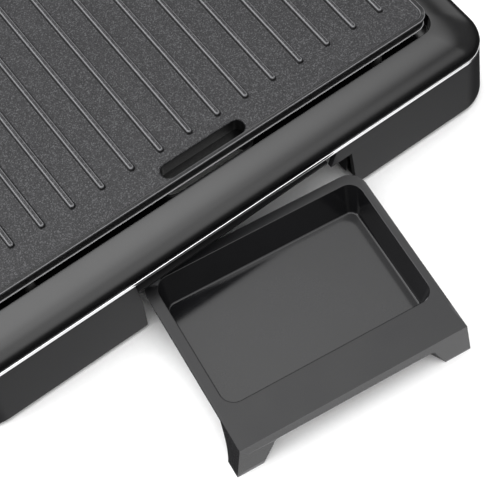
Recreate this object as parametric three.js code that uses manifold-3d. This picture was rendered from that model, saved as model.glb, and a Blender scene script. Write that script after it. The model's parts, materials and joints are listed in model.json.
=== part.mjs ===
// Electric griddle: a ribbed cast plate on a flared casing, with a drip tray that is drawn out in front.
// Millimetres, +Z up, +X to the right along the front, -Y towards the user.
import * as THREE from "three";
import { mergeVertices } from "three/addons/utils/BufferGeometryUtils.js";
import Module from "manifold-3d";

const wasm = await Module();
wasm.setup();

// ---------------------------------------------------------------- driving dimensions
const plateLength = 340; // left to right
const plateDepth = 230; // front to back
const plateProud = 9.5; // plate's rim above the frame's inner edge
const plateHeight = 10; // rim top to the lower edge of the plate's side wall
const plateSkin = 5; // thickness of the cooking surface
const plateWall = 4; // thickness of the plate's side wall
const plateCorner = 9; // corner radius, seen from above
const plateDraft = 0.8; // the side wall leans in towards its lower edge
const plateEdge = 1; // bevel along the plate's top edge
const rimWidth = 3; // width of the raised rim
const rimHeight = 1.2; // rim above the cooking surface

const ribCount = 15;
const ribSideMargin = 23; // plate's end to the middle of the first rib
const ribWidth = 4.4;
const ribHeight = 2.8;
const ribMargin = 20.5; // plate's front edge to the rounded end of a rib

const slotLength = 60;
const slotWidth = 10;
const slotInset = 8.8; // front edge of the plate to the middle of the slot
const slotLip = 1.2; // flare of the slot's upper edge
const slotCollarWall = 2;
const slotCollarDrop = 6; // collar below the cooking surface's underside

const wellGap = 3.5; // shadow gap between plate and frame
const wellCorner = 11;
const wellWall = 2.4;
const ledgeRise = 3; // frame's lower edge to the top of the ledge in the well
const ledgeWidth = 12;
const ledgeThickness = 2.2;

const bodyOverhang = 30; // plate edge to the trim line
const bodyCorner = 22; // corner radius of the body at the trim line
const shoulderRise = 13.5; // trim line to the frame's inner edge
const frameWall = 2.6;
const trimHeight = 3.2;
const trimDepth = 3.4;
const trimBulge = 0.5;

const skirtFlare = 6.4; // outward lean of the casing from top to bottom edge
const skirtHeight = 44.6;
const skirtWall = 2.4;
const skirtStep = 1; // the wall is thicker above the bottom cover
const skirtFlange = 9; // inward flange along the casing's top edge
const skirtFlangeThickness = 2;
const footStand = 2.6; // casing's lower edge above the table

const coverThickness = 2;
const coverRise = 2.2; // casing's lower edge to the underside of the cover
const ventCount = 7;
const ventWidth = 4;
const ventLength = 46;
const ventPitch = 12;
const ventSetback = 50; // back of the tray's bay to the middle row
const ventShare = 0.53; // place of the two vent fields, as a share of half the plate

const trayWidth = 154.5;
const trayDepth = 124;
const trayDrop = 17.7; // casing's top edge down to the top of the tray
const trayRim = 3.2; // thickness of the rim plate
const trayWall = 2;
const trayRearCorner = 12;
const trayFrontCorner = 1.5;
const basinFloorZ = 5.5;
const basinCorner = 9;
const basinFrontMargin = 26.6;
const basinLeftMargin = 7.3;
const basinRightMargin = 5.2;
const basinRearMargin = 6.5;
const basinRearDraft = 6.5; // how far the rear wall runs in towards the floor
const basinSideDraft = 2.5;
const basinFrontDraft = 3;
const basinFloorCorner = 6;
const basinFloorRound = 2;
const basinEdge = 0.8; // bevel along the basin's upper edge
const apronDrop = 9; // height of the tray's front between the legs
const apronRound = 4;
const legWidthTop = 20;
const legWidthBottom = 17.5;
const legDepthTop = 24;
const legDepthBottom = 7; // behind the front's top edge
const legSlant = 0.6; // the legs' inner sides run together towards the back, per mm
const legShell = 2.4;

const bayCentreX = 3.9;
const bayClearance = 3.45; // tray to the bay's side wall, for the turn on its way in
const bayWall = 2;
const bayLintelRise = 7; // tray's top to the lower edge of the casing over it
const bayRoofGap = 1.5; // lintel's lower edge to the underside of the liner's roof
const bayFlange = 8;
const bayBackGap = 2.5;
const bayRightLean = 1.4; // the doorway's right side leans in this much at the lintel
const doorwayFlare = 1.5; // the doorway is this much wider at the table on either side, to clear the legs
const windowLeftReach = 2; // the raised window reaches past the doorway's left side
const windowRightStep = 12.4; // and stops this far short of its right side
const windowSlant = 5.5; // its right side runs in by this much down to the lintel
const windowBendDrop = 8; // lintel's level to the bend in the left side
const railWidth = 5.2;
const railThickness = 3;
const railPlay = 0.4; // rim of the tray above the rail
const railSetback = 8; // behind the tray's legs

// The tray turns square as it goes in, on a large circle round a far point to its left.
const traySwingX = 956.8; // that point is this far to the left of the seated tray's middle
const traySwingY = -6; // and this far from it along Y
const trayYaw = THREE.MathUtils.degToRad(7.2); // how far it is turned on that circle when drawn out

const panDepth = 10;
const panSheet = 0.8;
const panFlange = 2.2;
const panDraft = 3;
const chuteWall = 1.5;
const chutePlay = 1.5; // the chute's bore is this much wider than the plate's collar on each side
const chuteRise = 3; // tray's top to the chute's lower end
const chuteDrop = 3.3; // lower end of the plate's collar to the chute's mouth
const chuteCollar = 3; // width of the collar that rests on the liner's roof
const chuteCollarThickness = 1.5;

const elementDiameter = 6.5;
const elementOuterInset = 40; // plate's edge to the outer pass
const elementInnerY = 25; // inner passes, either side of the middle
const elementEndInset = 40; // plate's left end to the far turns
const elementTurnShort = 38; // probe's tip to the turn of the inner passes
const elementBend = 25; // length that a turn takes up
const clipWidth = 8;
const clipSheet = 1;
const clipTab = 5;
const clipShares = [-0.44, 0.35]; // places of the outer clips, as shares of half the plate
const innerClipShare = -0.3;

const terminalY = 13; // contact pins either side of the probe
const terminalRise = 2; // frame's lower edge to the pins' axis
const terminalInset = 20; // plate's right end to the element's cold ends
const pinDiameter = 5;
const pinReach = 34;
const pinCollar = 1.5;
const earthPinDiameter = 4;
const earthPinY = 23;
const guardHalf = 30;
const guardDrop = 12; // pins' axis to the guard's underside
const guardWall = 2.4;
const guardRound = 3; // rounding along the guard's outer top edge
const guardTab = 8; // tab that is screwed to the plate
const guardTabThickness = 0.6;
const guardInset = 12; // guard's face behind the frame's outer line
const guardScrewBite = 3; // how far the guard's screws go into the plate
const notchPlay = 2; // gap between guard and notch
const probeDiameter = 8;
const probeBore = 5.6;
const probeLength = 92;
const probeBossWidth = 14;
const probeBossWall = 2.5;

const footDiameter = 18;
const footStudDiameter = 5;
const footInset = 24; // from the casing's lower edge to the middle of a foot
const postDiameter = 8;
const postOut = 17; // plate's edge to the middle of a screw post
const postSetback = 30; // the corner posts stand this far in along the sides
const postDepth = 14; // screw hole in a post
const screwShank = 3;
const screwHead = 6.4;
const screwHeadHeight = 1.8;
const restDiameter = 7.5;
const restShare = 0.76; // place of the plate's rests, as a share of half the plate
const fit = 0.3; // gap between pieces that touch
const roundSteps = 12; // sides of a small round piece
const cornerSteps = 6; // steps in a corner's quarter turn
const shoulderSteps = 7; // steps in the frame's shoulder
const past = 1; // how far a cutting tool runs past the face that it cuts

// ---------------------------------------------------------------- values that follow
const plateX = plateLength / 2;
const plateY = plateDepth / 2;
const ribPitch = (plateLength - 2 * ribSideMargin) / (ribCount - 1);
const skirtBottomZ = footStand;
const skirtTopZ = skirtBottomZ + skirtHeight;
const trimBottomZ = skirtTopZ + fit;
const frameBottomZ = trimBottomZ + trimHeight + fit;
const wellEdgeZ = frameBottomZ + shoulderRise;
const ledgeZ = frameBottomZ + ledgeRise;
const plateTopZ = wellEdgeZ + plateProud;
const plateBottomZ = plateTopZ - plateHeight;
const fieldZ = plateTopZ - rimHeight;
const undersideZ = fieldZ - plateSkin;
const coverBottomZ = skirtBottomZ + coverRise;
const coverTopZ = coverBottomZ + coverThickness;
const slotY = -plateY + slotInset;
const trayTopZ = skirtTopZ - trayDrop;
const trayFlare = skirtFlare / skirtHeight; // the tray's front leans as the casing does
const bayHalf = trayWidth / 2 + bayClearance;
const bayLeft = bayCentreX - bayHalf;
const bayRight = bayCentreX + bayHalf;
const bayLintelZ = trayTopZ + bayLintelRise;
const bayRoofZ = bayLintelZ + bayRoofGap;
const bayRoofTopZ = bayRoofZ + bayWall;
const trayFrontY = -plateY - overhangAt(trayTopZ); // seated, the tray's front is flush with the casing
const traySeatY = trayFrontY + trayDepth / 2;
const bayBackY = trayFrontY + trayDepth + bayBackGap;
const chuteBottomZ = trayTopZ + chuteRise;
const chuteTopZ = undersideZ - slotCollarDrop - chuteDrop;
const terminalX = plateX - terminalInset;
const terminalZ = frameBottomZ + terminalRise;
const probeStartX = terminalX - probeLength;
const guardStartX = terminalX + 4;
const guardFaceX = plateX + bodyOverhang - guardInset;
const guardBottomZ = terminalZ - guardDrop;
const guardTopZ = plateBottomZ - 4 * fit;
const notchHalf = guardHalf + notchPlay;
const notchBottomZ = guardBottomZ - notchPlay;
const elementZ = undersideZ - 2 * fit - elementDiameter / 2;
const elementOuterY = plateY - elementOuterInset;
const elementEndX = plateX - elementEndInset;
const elementInnerX = probeStartX - elementTurnShort;
const elementOuterX = terminalX - 34; // where the outer passes turn towards the terminals
const postX = plateX + postOut;
const postY = plateY + postOut;

// Distance from the plate's edge to the casing's outer face at a height.
function overhangAt(z) {
  return bodyOverhang + trimBulge + (skirtFlare * (skirtTopZ - z)) / skirtHeight;
}

// ---------------------------------------------------------------- solids and shapes
function toSolid(geometry) {
  const bare = geometry.index ? geometry.toNonIndexed() : geometry.clone();
  bare.deleteAttribute("normal");
  bare.deleteAttribute("uv");
  const merged = mergeVertices(bare, 1e-4);
  const mesh = new wasm.Mesh({
    numProp: 3,
    vertProperties: merged.attributes.position.array,
    triVerts: new Uint32Array(merged.index.array),
  });
  return new wasm.Manifold(mesh);
}

function toGeometry(solid) {
  const mesh = solid.getMesh();
  const geometry = new THREE.BufferGeometry();
  geometry.setAttribute("position", new THREE.BufferAttribute(mesh.vertProperties, 3));
  geometry.setIndex(new THREE.BufferAttribute(mesh.triVerts, 1));
  geometry.computeVertexNormals();
  return geometry;
}

function joined(solids) {
  return solids.reduce((whole, solid) => whole.add(solid));
}

function cutBy(solid, tools) {
  return tools.reduce((rest, tool) => rest.subtract(tool), solid);
}

function box(x0, x1, y0, y1, z0, z1) {
  const geometry = new THREE.BoxGeometry(x1 - x0, y1 - y0, z1 - z0);
  geometry.translate((x0 + x1) / 2, (y0 + y1) / 2, (z0 + z1) / 2);
  return toSolid(geometry);
}

// A rectangle's outline with rounded corners, counter-clockwise.
function outline({ x0, x1, y0, y1 }, rearRadius, frontRadius = rearRadius) {
  const corners = [
    [x1, y1, -1, -1, rearRadius],
    [x0, y1, 1, -1, rearRadius],
    [x0, y0, 1, 1, frontRadius],
    [x1, y0, -1, 1, frontRadius],
  ];
  const points = [];
  corners.forEach(([x, y, inX, inY, radius], quarter) => {
    for (let step = 0; step <= cornerSteps; step++) {
      const angle = ((quarter + step / cornerSteps) * Math.PI) / 2;
      const px = x + inX * radius + radius * Math.cos(angle);
      const py = y + inY * radius + radius * Math.sin(angle);
      points.push(new THREE.Vector2(px, py));
    }
  });
  return points;
}

function centred(halfX, halfY) {
  return { x0: -halfX, x1: halfX, y0: -halfY, y1: halfY };
}

// The plate's outline moved outwards by a distance.
function around(distance) {
  return centred(plateX + distance, plateY + distance);
}

function grown({ x0, x1, y0, y1 }, by) {
  return { x0: x0 - by, x1: x1 + by, y0: y0 - by, y1: y1 + by };
}

// A closed block through outlines of equal point count, each at its height, from the lowest up.
function loft(levels) {
  const count = levels[0].points.length;
  const positions = levels.flatMap(({ z, points }) => points.flatMap((p) => [p.x, p.y, z]));
  const faces = [];
  for (let level = 0; level + 1 < levels.length; level++) {
    for (let i = 0; i < count; i++) {
      const a = level * count + i;
      const b = level * count + ((i + 1) % count);
      faces.push(a, b, b + count, a, b + count, a + count);
    }
  }
  const last = (levels.length - 1) * count;
  THREE.ShapeUtils.triangulateShape(levels[0].points, []).forEach(([a, b, c]) => faces.push(c, b, a));
  THREE.ShapeUtils.triangulateShape(levels.at(-1).points, []).forEach(([a, b, c]) =>
    faces.push(last + a, last + b, last + c),
  );
  const geometry = new THREE.BufferGeometry();
  geometry.setAttribute("position", new THREE.Float32BufferAttribute(positions, 3));
  geometry.setIndex(faces);
  return toSolid(geometry);
}

function prism(points, z0, z1) {
  return loft([
    { z: z0, points },
    { z: z1, points },
  ]);
}

function extruded(shape, depth, curveSegments = cornerSteps) {
  return new THREE.ExtrudeGeometry(shape, { depth, bevelEnabled: false, curveSegments });
}

// A profile drawn in X and Z, extruded along Y from y0 to y1.
function alongY(shape, y0, y1) {
  const geometry = extruded(shape, y1 - y0);
  geometry.rotateX(Math.PI / 2);
  geometry.translate(0, y1, 0);
  return toSolid(geometry);
}

// A profile drawn in Y and Z, extruded along X from x0 to x1.
function alongX(shape, x0, x1) {
  const geometry = extruded(shape, x1 - x0);
  const turn = new THREE.Matrix4().makeBasis(
    new THREE.Vector3(0, 1, 0),
    new THREE.Vector3(0, 0, 1),
    new THREE.Vector3(1, 0, 0),
  );
  geometry.applyMatrix4(turn);
  geometry.translate(x0, 0, 0);
  return toSolid(geometry);
}

function polygon(points) {
  return new THREE.Shape(points.map(([x, y]) => new THREE.Vector2(x, y)));
}

// A round-ended slot's outline, long way along X.
function obround(length, width, y) {
  const radius = width / 2;
  const reach = length / 2 - radius;
  const points = [];
  [reach, -reach].forEach((x, end) => {
    for (let step = 0; step <= roundSteps; step++) {
      const angle = -Math.PI / 2 + end * Math.PI + (step / roundSteps) * Math.PI;
      points.push(new THREE.Vector2(x + radius * Math.cos(angle), y + radius * Math.sin(angle)));
    }
  });
  return points;
}

// An upright round piece from radius and height pairs, from the lowest up.
function turned(profile, x = 0, y = 0, steps = roundSteps) {
  const points = profile.map(([radius, z]) => new THREE.Vector2(radius, z));
  const geometry = new THREE.LatheGeometry(points, steps);
  geometry.rotateX(Math.PI / 2);
  geometry.translate(x, y, 0);
  return toSolid(geometry);
}

function cylinder(diameter, x, y, z0, z1, steps = roundSteps) {
  const radius = diameter / 2;
  return turned([[0, z0], [radius, z0], [radius, z1], [0, z1]], x, y, steps);
}

// A round bar or tube lying along X.
function barAlongX(diameter, x0, x1, y, z, steps = roundSteps) {
  const geometry = new THREE.CylinderGeometry(diameter / 2, diameter / 2, x1 - x0, steps);
  geometry.rotateZ(-Math.PI / 2);
  geometry.translate((x0 + x1) / 2, y, z);
  return toSolid(geometry);
}

function fourCorners(x, y) {
  return [
    [-x, -y],
    [x, -y],
    [-x, y],
    [x, y],
  ];
}

// ---------------------------------------------------------------- materials
function finish(color, roughness, metalness = 0) {
  return new THREE.MeshStandardMaterial({ color, roughness, metalness });
}

const nonStick = finish(0x3c3d3f, 0.55, 0.2);
const glossBlack = finish(0x101012, 0.12);
const satinGrey = finish(0x3f4043, 0.5);
const trayBlack = finish(0x35363a, 0.3);
const matteBlack = finish(0x1d1d1f, 0.7);
const brightChrome = finish(0xe8e8ea, 0.12, 1);
const steel = finish(0xb9bcc0, 0.35, 1);
const rubber = finish(0x161616, 0.9);
const heatProof = finish(0x6d665c, 0.8);

// ---------------------------------------------------------------- the base
// The casing's outer outline at a height, moved in by an inset.
function skirtOutline(z, inset = 0) {
  const out = overhangAt(z) - inset;
  return { z, points: outline(around(out), bodyCorner + out - bodyOverhang) };
}

// The opening in the casing's front: the tray's doorway with a raised window in its middle.
function bayOpening() {
  const windowRight = bayRight - windowRightStep;
  const doorway = polygon([
    [bayLeft - doorwayFlare, -past],
    [bayRight + doorwayFlare, -past],
    [bayRight - bayRightLean, bayLintelZ],
    [windowRight - windowSlant, bayLintelZ],
    [windowRight, skirtTopZ + past],
    [bayLeft - windowLeftReach, skirtTopZ + past],
    [bayLeft, bayLintelZ - windowBendDrop],
  ]);
  const front = -plateY - overhangAt(0);
  const back = -plateY - bodyOverhang + skirtWall + skirtStep + skirtFlange + past;
  return alongY(doorway, front - past, back);
}

function plugNotch() {
  const side = plateX + overhangAt(0) + past;
  return box(guardStartX - notchPlay, side, -notchHalf, notchHalf, notchBottomZ, plateTopZ);
}

function skirtHousing() {
  const shell = loft([skirtOutline(skirtBottomZ), skirtOutline(skirtTopZ)]);
  const rebate = loft([skirtOutline(0, skirtWall), skirtOutline(coverTopZ + fit, skirtWall)]);
  const innerTopZ = skirtTopZ - skirtFlangeThickness;
  const inset = skirtWall + skirtStep;
  const hollow = loft([skirtOutline(coverTopZ, inset), skirtOutline(innerTopZ, inset)]);
  const throatOutline = skirtOutline(skirtTopZ, inset + skirtFlange).points;
  const throat = prism(throatOutline, innerTopZ - past, skirtTopZ + past);
  const postHoles = postPlaces().map(([x, y]) =>
    cylinder(postDiameter + 2 * fit, x, y, innerTopZ - past, skirtTopZ + past),
  );
  return cutBy(shell, [rebate, hollow, throat, bayOpening(), plugNotch(), ...postHoles]);
}

function trimBand() {
  const level = (share, out) => ({
    z: trimBottomZ + share * trimHeight,
    points: outline(around(bodyOverhang + out), bodyCorner + out),
  });
  const band = loft([level(0, 0), level(0.25, trimBulge), level(0.75, trimBulge), level(1, 0)]);
  const inner = outline(around(bodyOverhang - trimDepth), bodyCorner - trimDepth);
  return cutBy(band, [prism(inner, trimBottomZ - past, frameBottomZ), plugNotch()]);
}

// The frame's convex shoulder: a quarter ellipse from the trim line up to the well's edge.
function shoulder(inset) {
  const span = bodyOverhang - wellGap;
  const levels = [];
  for (let step = 0; step <= shoulderSteps; step++) {
    const angle = (step / shoulderSteps) * (Math.PI / 2);
    const out = wellGap + span * Math.cos(angle) - inset;
    const share = Math.cos(angle);
    const radius = wellCorner + (bodyCorner - wellCorner) * share - inset;
    const z = frameBottomZ + shoulderRise * Math.sin(angle) - inset;
    levels.push({ z, points: outline(around(out), radius) });
  }
  return levels;
}

// Screw posts: one near each corner, one at the left and one at the back.
function postPlaces() {
  return [...fourCorners(postX, postY - postSetback), [-postX, 0], [0, postY]];
}

function topFrame() {
  const outer = loft(shoulder(0));
  const hollow = loft(shoulder(frameWall));
  const below = prism(outline(around(bodyOverhang), bodyCorner), frameBottomZ - frameWall - past, frameBottomZ);
  const wellOutline = outline(around(wellGap), wellCorner);
  const wallOutline = outline(around(wellGap + wellWall), wellCorner + wellWall);
  const wallRing = prism(wallOutline, ledgeZ, wellEdgeZ - past);
  const ledge = prism(wallOutline, ledgeZ - ledgeThickness, ledgeZ);
  const well = prism(wellOutline, ledgeZ, wellEdgeZ + past);
  const lowCut = ledgeZ - ledgeThickness - past;
  const ledgeHole = prism(outline(around(wellGap - ledgeWidth), wellCorner), lowCut, ledgeZ + past);
  const chuteNotch = prism(chuteOutline(chuteWall + fit), lowCut, ledgeZ + past);
  const postTop = frameBottomZ + shoulderRise / 2;
  const posts = postPlaces().map(([x, y]) => cylinder(postDiameter, x, y, coverTopZ + fit, postTop));
  const pilots = postPlaces().map(([x, y]) => cylinder(screwShank + 2 * fit, x, y, 0, coverTopZ + postDepth));
  const roof = cutBy(outer, [hollow, below]);
  const whole = joined([roof, wallRing, ledge, ...posts]);
  return cutBy(whole, [well, ledgeHole, chuteNotch, plugNotch(), ...pilots]);
}

function coverPlace(z) {
  return skirtOutline(z, skirtWall + fit).points;
}

function footPlaces() {
  const out = overhangAt(skirtBottomZ) - footInset;
  return fourCorners(plateX + out, plateY + out);
}

function bottomCover() {
  const cover = prism(coverPlace(coverTopZ), coverBottomZ, coverTopZ);
  const low = coverBottomZ - past;
  const high = coverTopZ + past;
  const gap = bayWall + 2 * fit;
  const front = -plateY - overhangAt(0);
  const bayCut = box(bayLeft - gap, bayRight + gap, front, bayBackY + gap, low, high);
  const vents = [];
  for (let row = 0; row < ventCount; row++) {
    const y = bayBackY + ventSetback + (row - (ventCount - 1) / 2) * ventPitch;
    for (const side of [-1, 1]) {
      const x = side * ventShare * plateX;
      vents.push(box(x - ventLength / 2, x + ventLength / 2, y - ventWidth / 2, y + ventWidth / 2, low, high));
    }
  }
  const hole = (diameter) => ([x, y]) => cylinder(diameter + 2 * fit, x, y, low, high);
  const studs = footPlaces().map(hole(footStudDiameter));
  const screws = [...postPlaces(), ...bayScrewPlaces()].map(hole(screwShank));
  return cutBy(cover, [bayCut, ...vents, ...studs, ...screws]);
}

function bayScrewPlaces() {
  const out = bayWall + bayFlange / 2;
  const front = traySeatY - trayDepth / 4;
  const rear = traySeatY + trayDepth / 4;
  return [
    [bayLeft - out, front],
    [bayRight + out, front],
    [bayLeft - out, rear],
    [bayRight + out, rear],
  ];
}

// The liner over the tray: a roof and three walls, on flanges that are screwed to the cover.
function trayBay() {
  const front = -plateY - overhangAt(skirtTopZ) + skirtWall + skirtStep + fit;
  const bottom = coverTopZ + fit;
  const left = bayLeft - bayWall;
  const right = bayRight + bayWall;
  const back = bayBackY + bayWall;
  const outer = box(left, right, front, back, bottom, bayRoofTopZ);
  const flange = box(
    left - bayFlange,
    right + bayFlange,
    front + bayFlange,
    back + bayFlange,
    bottom,
    bottom + bayWall,
  );
  const inner = box(bayLeft, bayRight, front - past, bayBackY, 0, bayRoofZ);
  const chuteHole = prism(chuteOutline(chuteWall + fit), bayRoofZ - past, bayRoofTopZ + past);
  const holes = bayScrewPlaces().map(([x, y]) =>
    cylinder(screwShank + 2 * fit, x, y, bottom - past, bottom + bayWall + past),
  );
  return cutBy(outer.add(flange), [inner, chuteHole, ...holes]);
}

function trayRail(side) {
  const wallX = side < 0 ? bayLeft : bayRight;
  const top = trayTopZ - trayRim - railPlay;
  const inner = wallX - side * railWidth;
  const outer = wallX - side * fit;
  const y0 = trayFrontY + legDepthTop + railSetback;
  const y1 = bayBackY - fit;
  return box(Math.min(inner, outer), Math.max(inner, outer), y0, y1, top - railThickness, top);
}

function chuteOutline(grow) {
  const grownBy = 2 * (slotCollarWall + chutePlay + grow);
  return obround(slotLength + grownBy, slotWidth + grownBy, slotY);
}

// A flat tube from under the plate's slot down to the tray, with a collar on the liner's roof.
function drainChute() {
  const collarZ = bayRoofTopZ + fit;
  const body = prism(chuteOutline(chuteWall), chuteBottomZ, chuteTopZ);
  const collar = prism(chuteOutline(chuteWall + chuteCollar), collarZ, collarZ + chuteCollarThickness);
  const bore = prism(chuteOutline(0), chuteBottomZ - past, chuteTopZ + past);
  return joined([body, collar]).subtract(bore);
}

// The bright pan under the element, hung by its flange on the well's ledge.
function reflectorPan() {
  const tubOut = wellGap - ledgeWidth - 2 * fit;
  const bottom = ledgeZ + fit;
  const top = bottom + panSheet;
  const flange = prism(outline(around(wellGap - ledgeWidth + panFlange), wellCorner), bottom, top);
  const tub = loft([
    { z: top - panDepth, points: outline(around(tubOut - panDraft), wellCorner) },
    { z: top, points: outline(around(tubOut), wellCorner) },
  ]);
  const hollow = loft([
    { z: top - panDepth + panSheet, points: outline(around(tubOut - panDraft - panSheet), wellCorner) },
    { z: top + fit, points: outline(around(tubOut - panSheet), wellCorner) },
  ]);
  const low = top - panDepth - past;
  const chuteHole = prism(chuteOutline(2 * chuteWall), low, top + past);
  const guardNotch = box(guardStartX - 3 * guardTab, plateX, -notchHalf, notchHalf, low, top + past);
  return cutBy(flange.add(tub), [hollow, chuteHole, guardNotch]);
}

function plateRestPlaces() {
  return fourCorners(plateX * restShare, plateY - plateWall / 2);
}

function plateRest([x, y]) {
  const bottom = ledgeZ + fit;
  const top = plateBottomZ - fit;
  const radius = restDiameter / 2;
  const round = radius / 4;
  const profile = [
    [0, bottom],
    [radius, bottom],
    [radius - round, top - round],
    [radius - 2 * round, top],
    [0, top],
  ];
  return turned(profile, x, y);
}

function rubberFoot([x, y]) {
  const top = coverBottomZ - fit;
  const studTop = coverTopZ + 4 * fit;
  const radius = footDiameter / 2;
  const stud = footStudDiameter / 2;
  const round = radius * 0.2;
  const profile = [
    [0, 0],
    [radius - round, 0],
    [radius, round],
    [radius, top],
    [stud, top],
    [stud, studTop],
    [0, studTop],
  ];
  return turned(profile, x, y, roundSteps + 4);
}

// A pan-head screw driven upwards: its head under headZ, its tip at tipZ.
function screwUp([x, y], headZ, tipZ) {
  const head = screwHead / 2;
  const shank = screwShank / 2;
  const profile = [
    [0, headZ - screwHeadHeight],
    [head * 0.7, headZ - screwHeadHeight],
    [head, headZ - screwHeadHeight * 0.4],
    [head, headZ],
    [shank, headZ],
    [shank, tipZ - shank],
    [0, tipZ],
  ];
  return turned(profile, x, y);
}

// ---------------------------------------------------------------- the plate and what hangs from it
function rib(index) {
  const radius = ribWidth / 2;
  const length = plateDepth - 2 * ribMargin;
  const geometry = new THREE.CapsuleGeometry(radius, length - ribWidth, 3, 10);
  geometry.scale(1, 1, ribHeight / radius);
  geometry.translate((index - (ribCount - 1) / 2) * ribPitch, 0, fieldZ);
  return toSolid(geometry);
}

function grillPlate() {
  const body = loft([
    { z: plateBottomZ, points: outline(around(-plateDraft), plateCorner - plateDraft) },
    { z: plateTopZ - plateEdge, points: outline(around(0), plateCorner) },
    { z: plateTopZ, points: outline(around(-plateEdge), plateCorner - plateEdge) },
  ]);
  const fieldCorner = plateCorner - rimWidth;
  const field = loft([
    { z: fieldZ, points: outline(around(-rimWidth - rimHeight), fieldCorner) },
    { z: plateTopZ, points: outline(around(-rimWidth), fieldCorner) },
    { z: plateTopZ + past, points: outline(around(-rimWidth), fieldCorner) },
  ]);
  const hollow = prism(outline(around(-plateWall), plateCorner - plateWall), plateBottomZ - past, undersideZ);
  const slotOutline = (grow) => obround(slotLength + 2 * grow, slotWidth + 2 * grow, slotY);
  const collar = prism(slotOutline(slotCollarWall), undersideZ - slotCollarDrop, fieldZ - past);
  const probeRadius = probeDiameter / 2;
  const bossEndX = terminalX - 2 * probeRadius - fit;
  const boss = box(
    probeStartX - probeBossWall,
    bossEndX,
    -probeBossWidth / 2,
    probeBossWidth / 2,
    terminalZ - probeRadius - probeBossWall,
    undersideZ + past,
  );
  const probeHole = barAlongX(probeDiameter + 2 * fit, probeStartX, terminalX, 0, terminalZ);
  const ribs = Array.from({ length: ribCount }, (_, index) => rib(index));
  const lip = loft([
    { z: fieldZ - slotLip, points: slotOutline(0) },
    { z: fieldZ + fit, points: slotOutline(slotLip) },
  ]);
  const slot = prism(slotOutline(0), undersideZ - slotCollarDrop - past, fieldZ + past);
  const sideNotch = box(
    guardStartX - guardTab - notchPlay,
    plateX + past,
    -notchHalf,
    notchHalf,
    plateBottomZ - past,
    undersideZ - fit,
  );
  const screwHoles = guardScrewPlaces().map(([x, y]) =>
    cylinder(screwShank + 2 * fit, x, y, undersideZ - past, undersideZ + guardScrewBite + fit),
  );
  const cast = cutBy(body, [field, hollow, ...screwHoles]);
  return cutBy(joined([cast, collar, boss, ...ribs]), [probeHole, lip, slot, sideNotch]);
}

// Half of the element's route, from a terminal to the middle turn, on the side given.
function elementRoute(side) {
  const outer = elementOuterY;
  const inner = elementInnerY;
  const bend = elementBend;
  const part = bend * 0.28; // what the curve's middle point keeps from its corner
  const high = elementZ;
  return [
    [terminalX - fit, terminalY, terminalZ],
    [terminalX - bend / 2, terminalY, terminalZ],
    [terminalX - bend, terminalY + 2, high - bend / 6],
    [elementOuterX + 2, terminalY + 10, high],
    [elementOuterX, outer - bend, high],
    [elementOuterX - part, outer - part, high],
    [elementOuterX - bend, outer, high],
    [elementOuterX - 2 * bend, outer, high],
    [-elementEndX + 2 * bend, outer, high],
    [-elementEndX + bend, outer, high],
    [-elementEndX + part, outer - part, high],
    [-elementEndX, (outer + inner) / 2, high],
    [-elementEndX + part, inner + part, high],
    [-elementEndX + bend, inner, high],
    [-elementEndX + 2 * bend, inner, high],
    [elementInnerX - 2 * bend, inner, high],
    [elementInnerX - bend, inner, high],
    [elementInnerX - part, inner - part, high],
  ].map(([x, y, z]) => new THREE.Vector3(x, side * y, z));
}

function heatingElement() {
  const there = elementRoute(-1);
  const back = elementRoute(1).reverse();
  const turn = new THREE.Vector3(elementInnerX, 0, elementZ);
  const route = new THREE.CatmullRomCurve3([...there, turn, ...back], false, "centripetal");
  const section = new THREE.Shape();
  section.absarc(0, 0, elementDiameter / 2, 0, 2 * Math.PI);
  const sweep = { steps: 110, curveSegments: 4, bevelEnabled: false, extrudePath: route };
  return toSolid(new THREE.ExtrudeGeometry(section, sweep));
}

function clipPlaces() {
  return [-1, 1].flatMap((side) => [
    ...clipShares.map((share) => [share * plateX, side * elementOuterY]),
    [innerClipShare * plateX, side * elementInnerY],
  ]);
}

// A strap bent over the element, with a tab on each side against the plate's underside.
function elementClip([x, y]) {
  const inside = elementDiameter / 2 + fit;
  const outside = inside + clipSheet;
  const tab = outside + clipTab;
  const top = undersideZ - fit;
  const low = elementZ - inside;
  const strap = polygon([
    [y - tab, top - clipSheet],
    [y - outside, top - clipSheet],
    [y - outside, low - clipSheet],
    [y + outside, low - clipSheet],
    [y + outside, top - clipSheet],
    [y + tab, top - clipSheet],
    [y + tab, top],
    [y + inside, top],
    [y + inside, low],
    [y - inside, low],
    [y - inside, top],
    [y - tab, top],
  ]);
  return alongX(strap, x - clipWidth / 2, x + clipWidth / 2);
}

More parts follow.
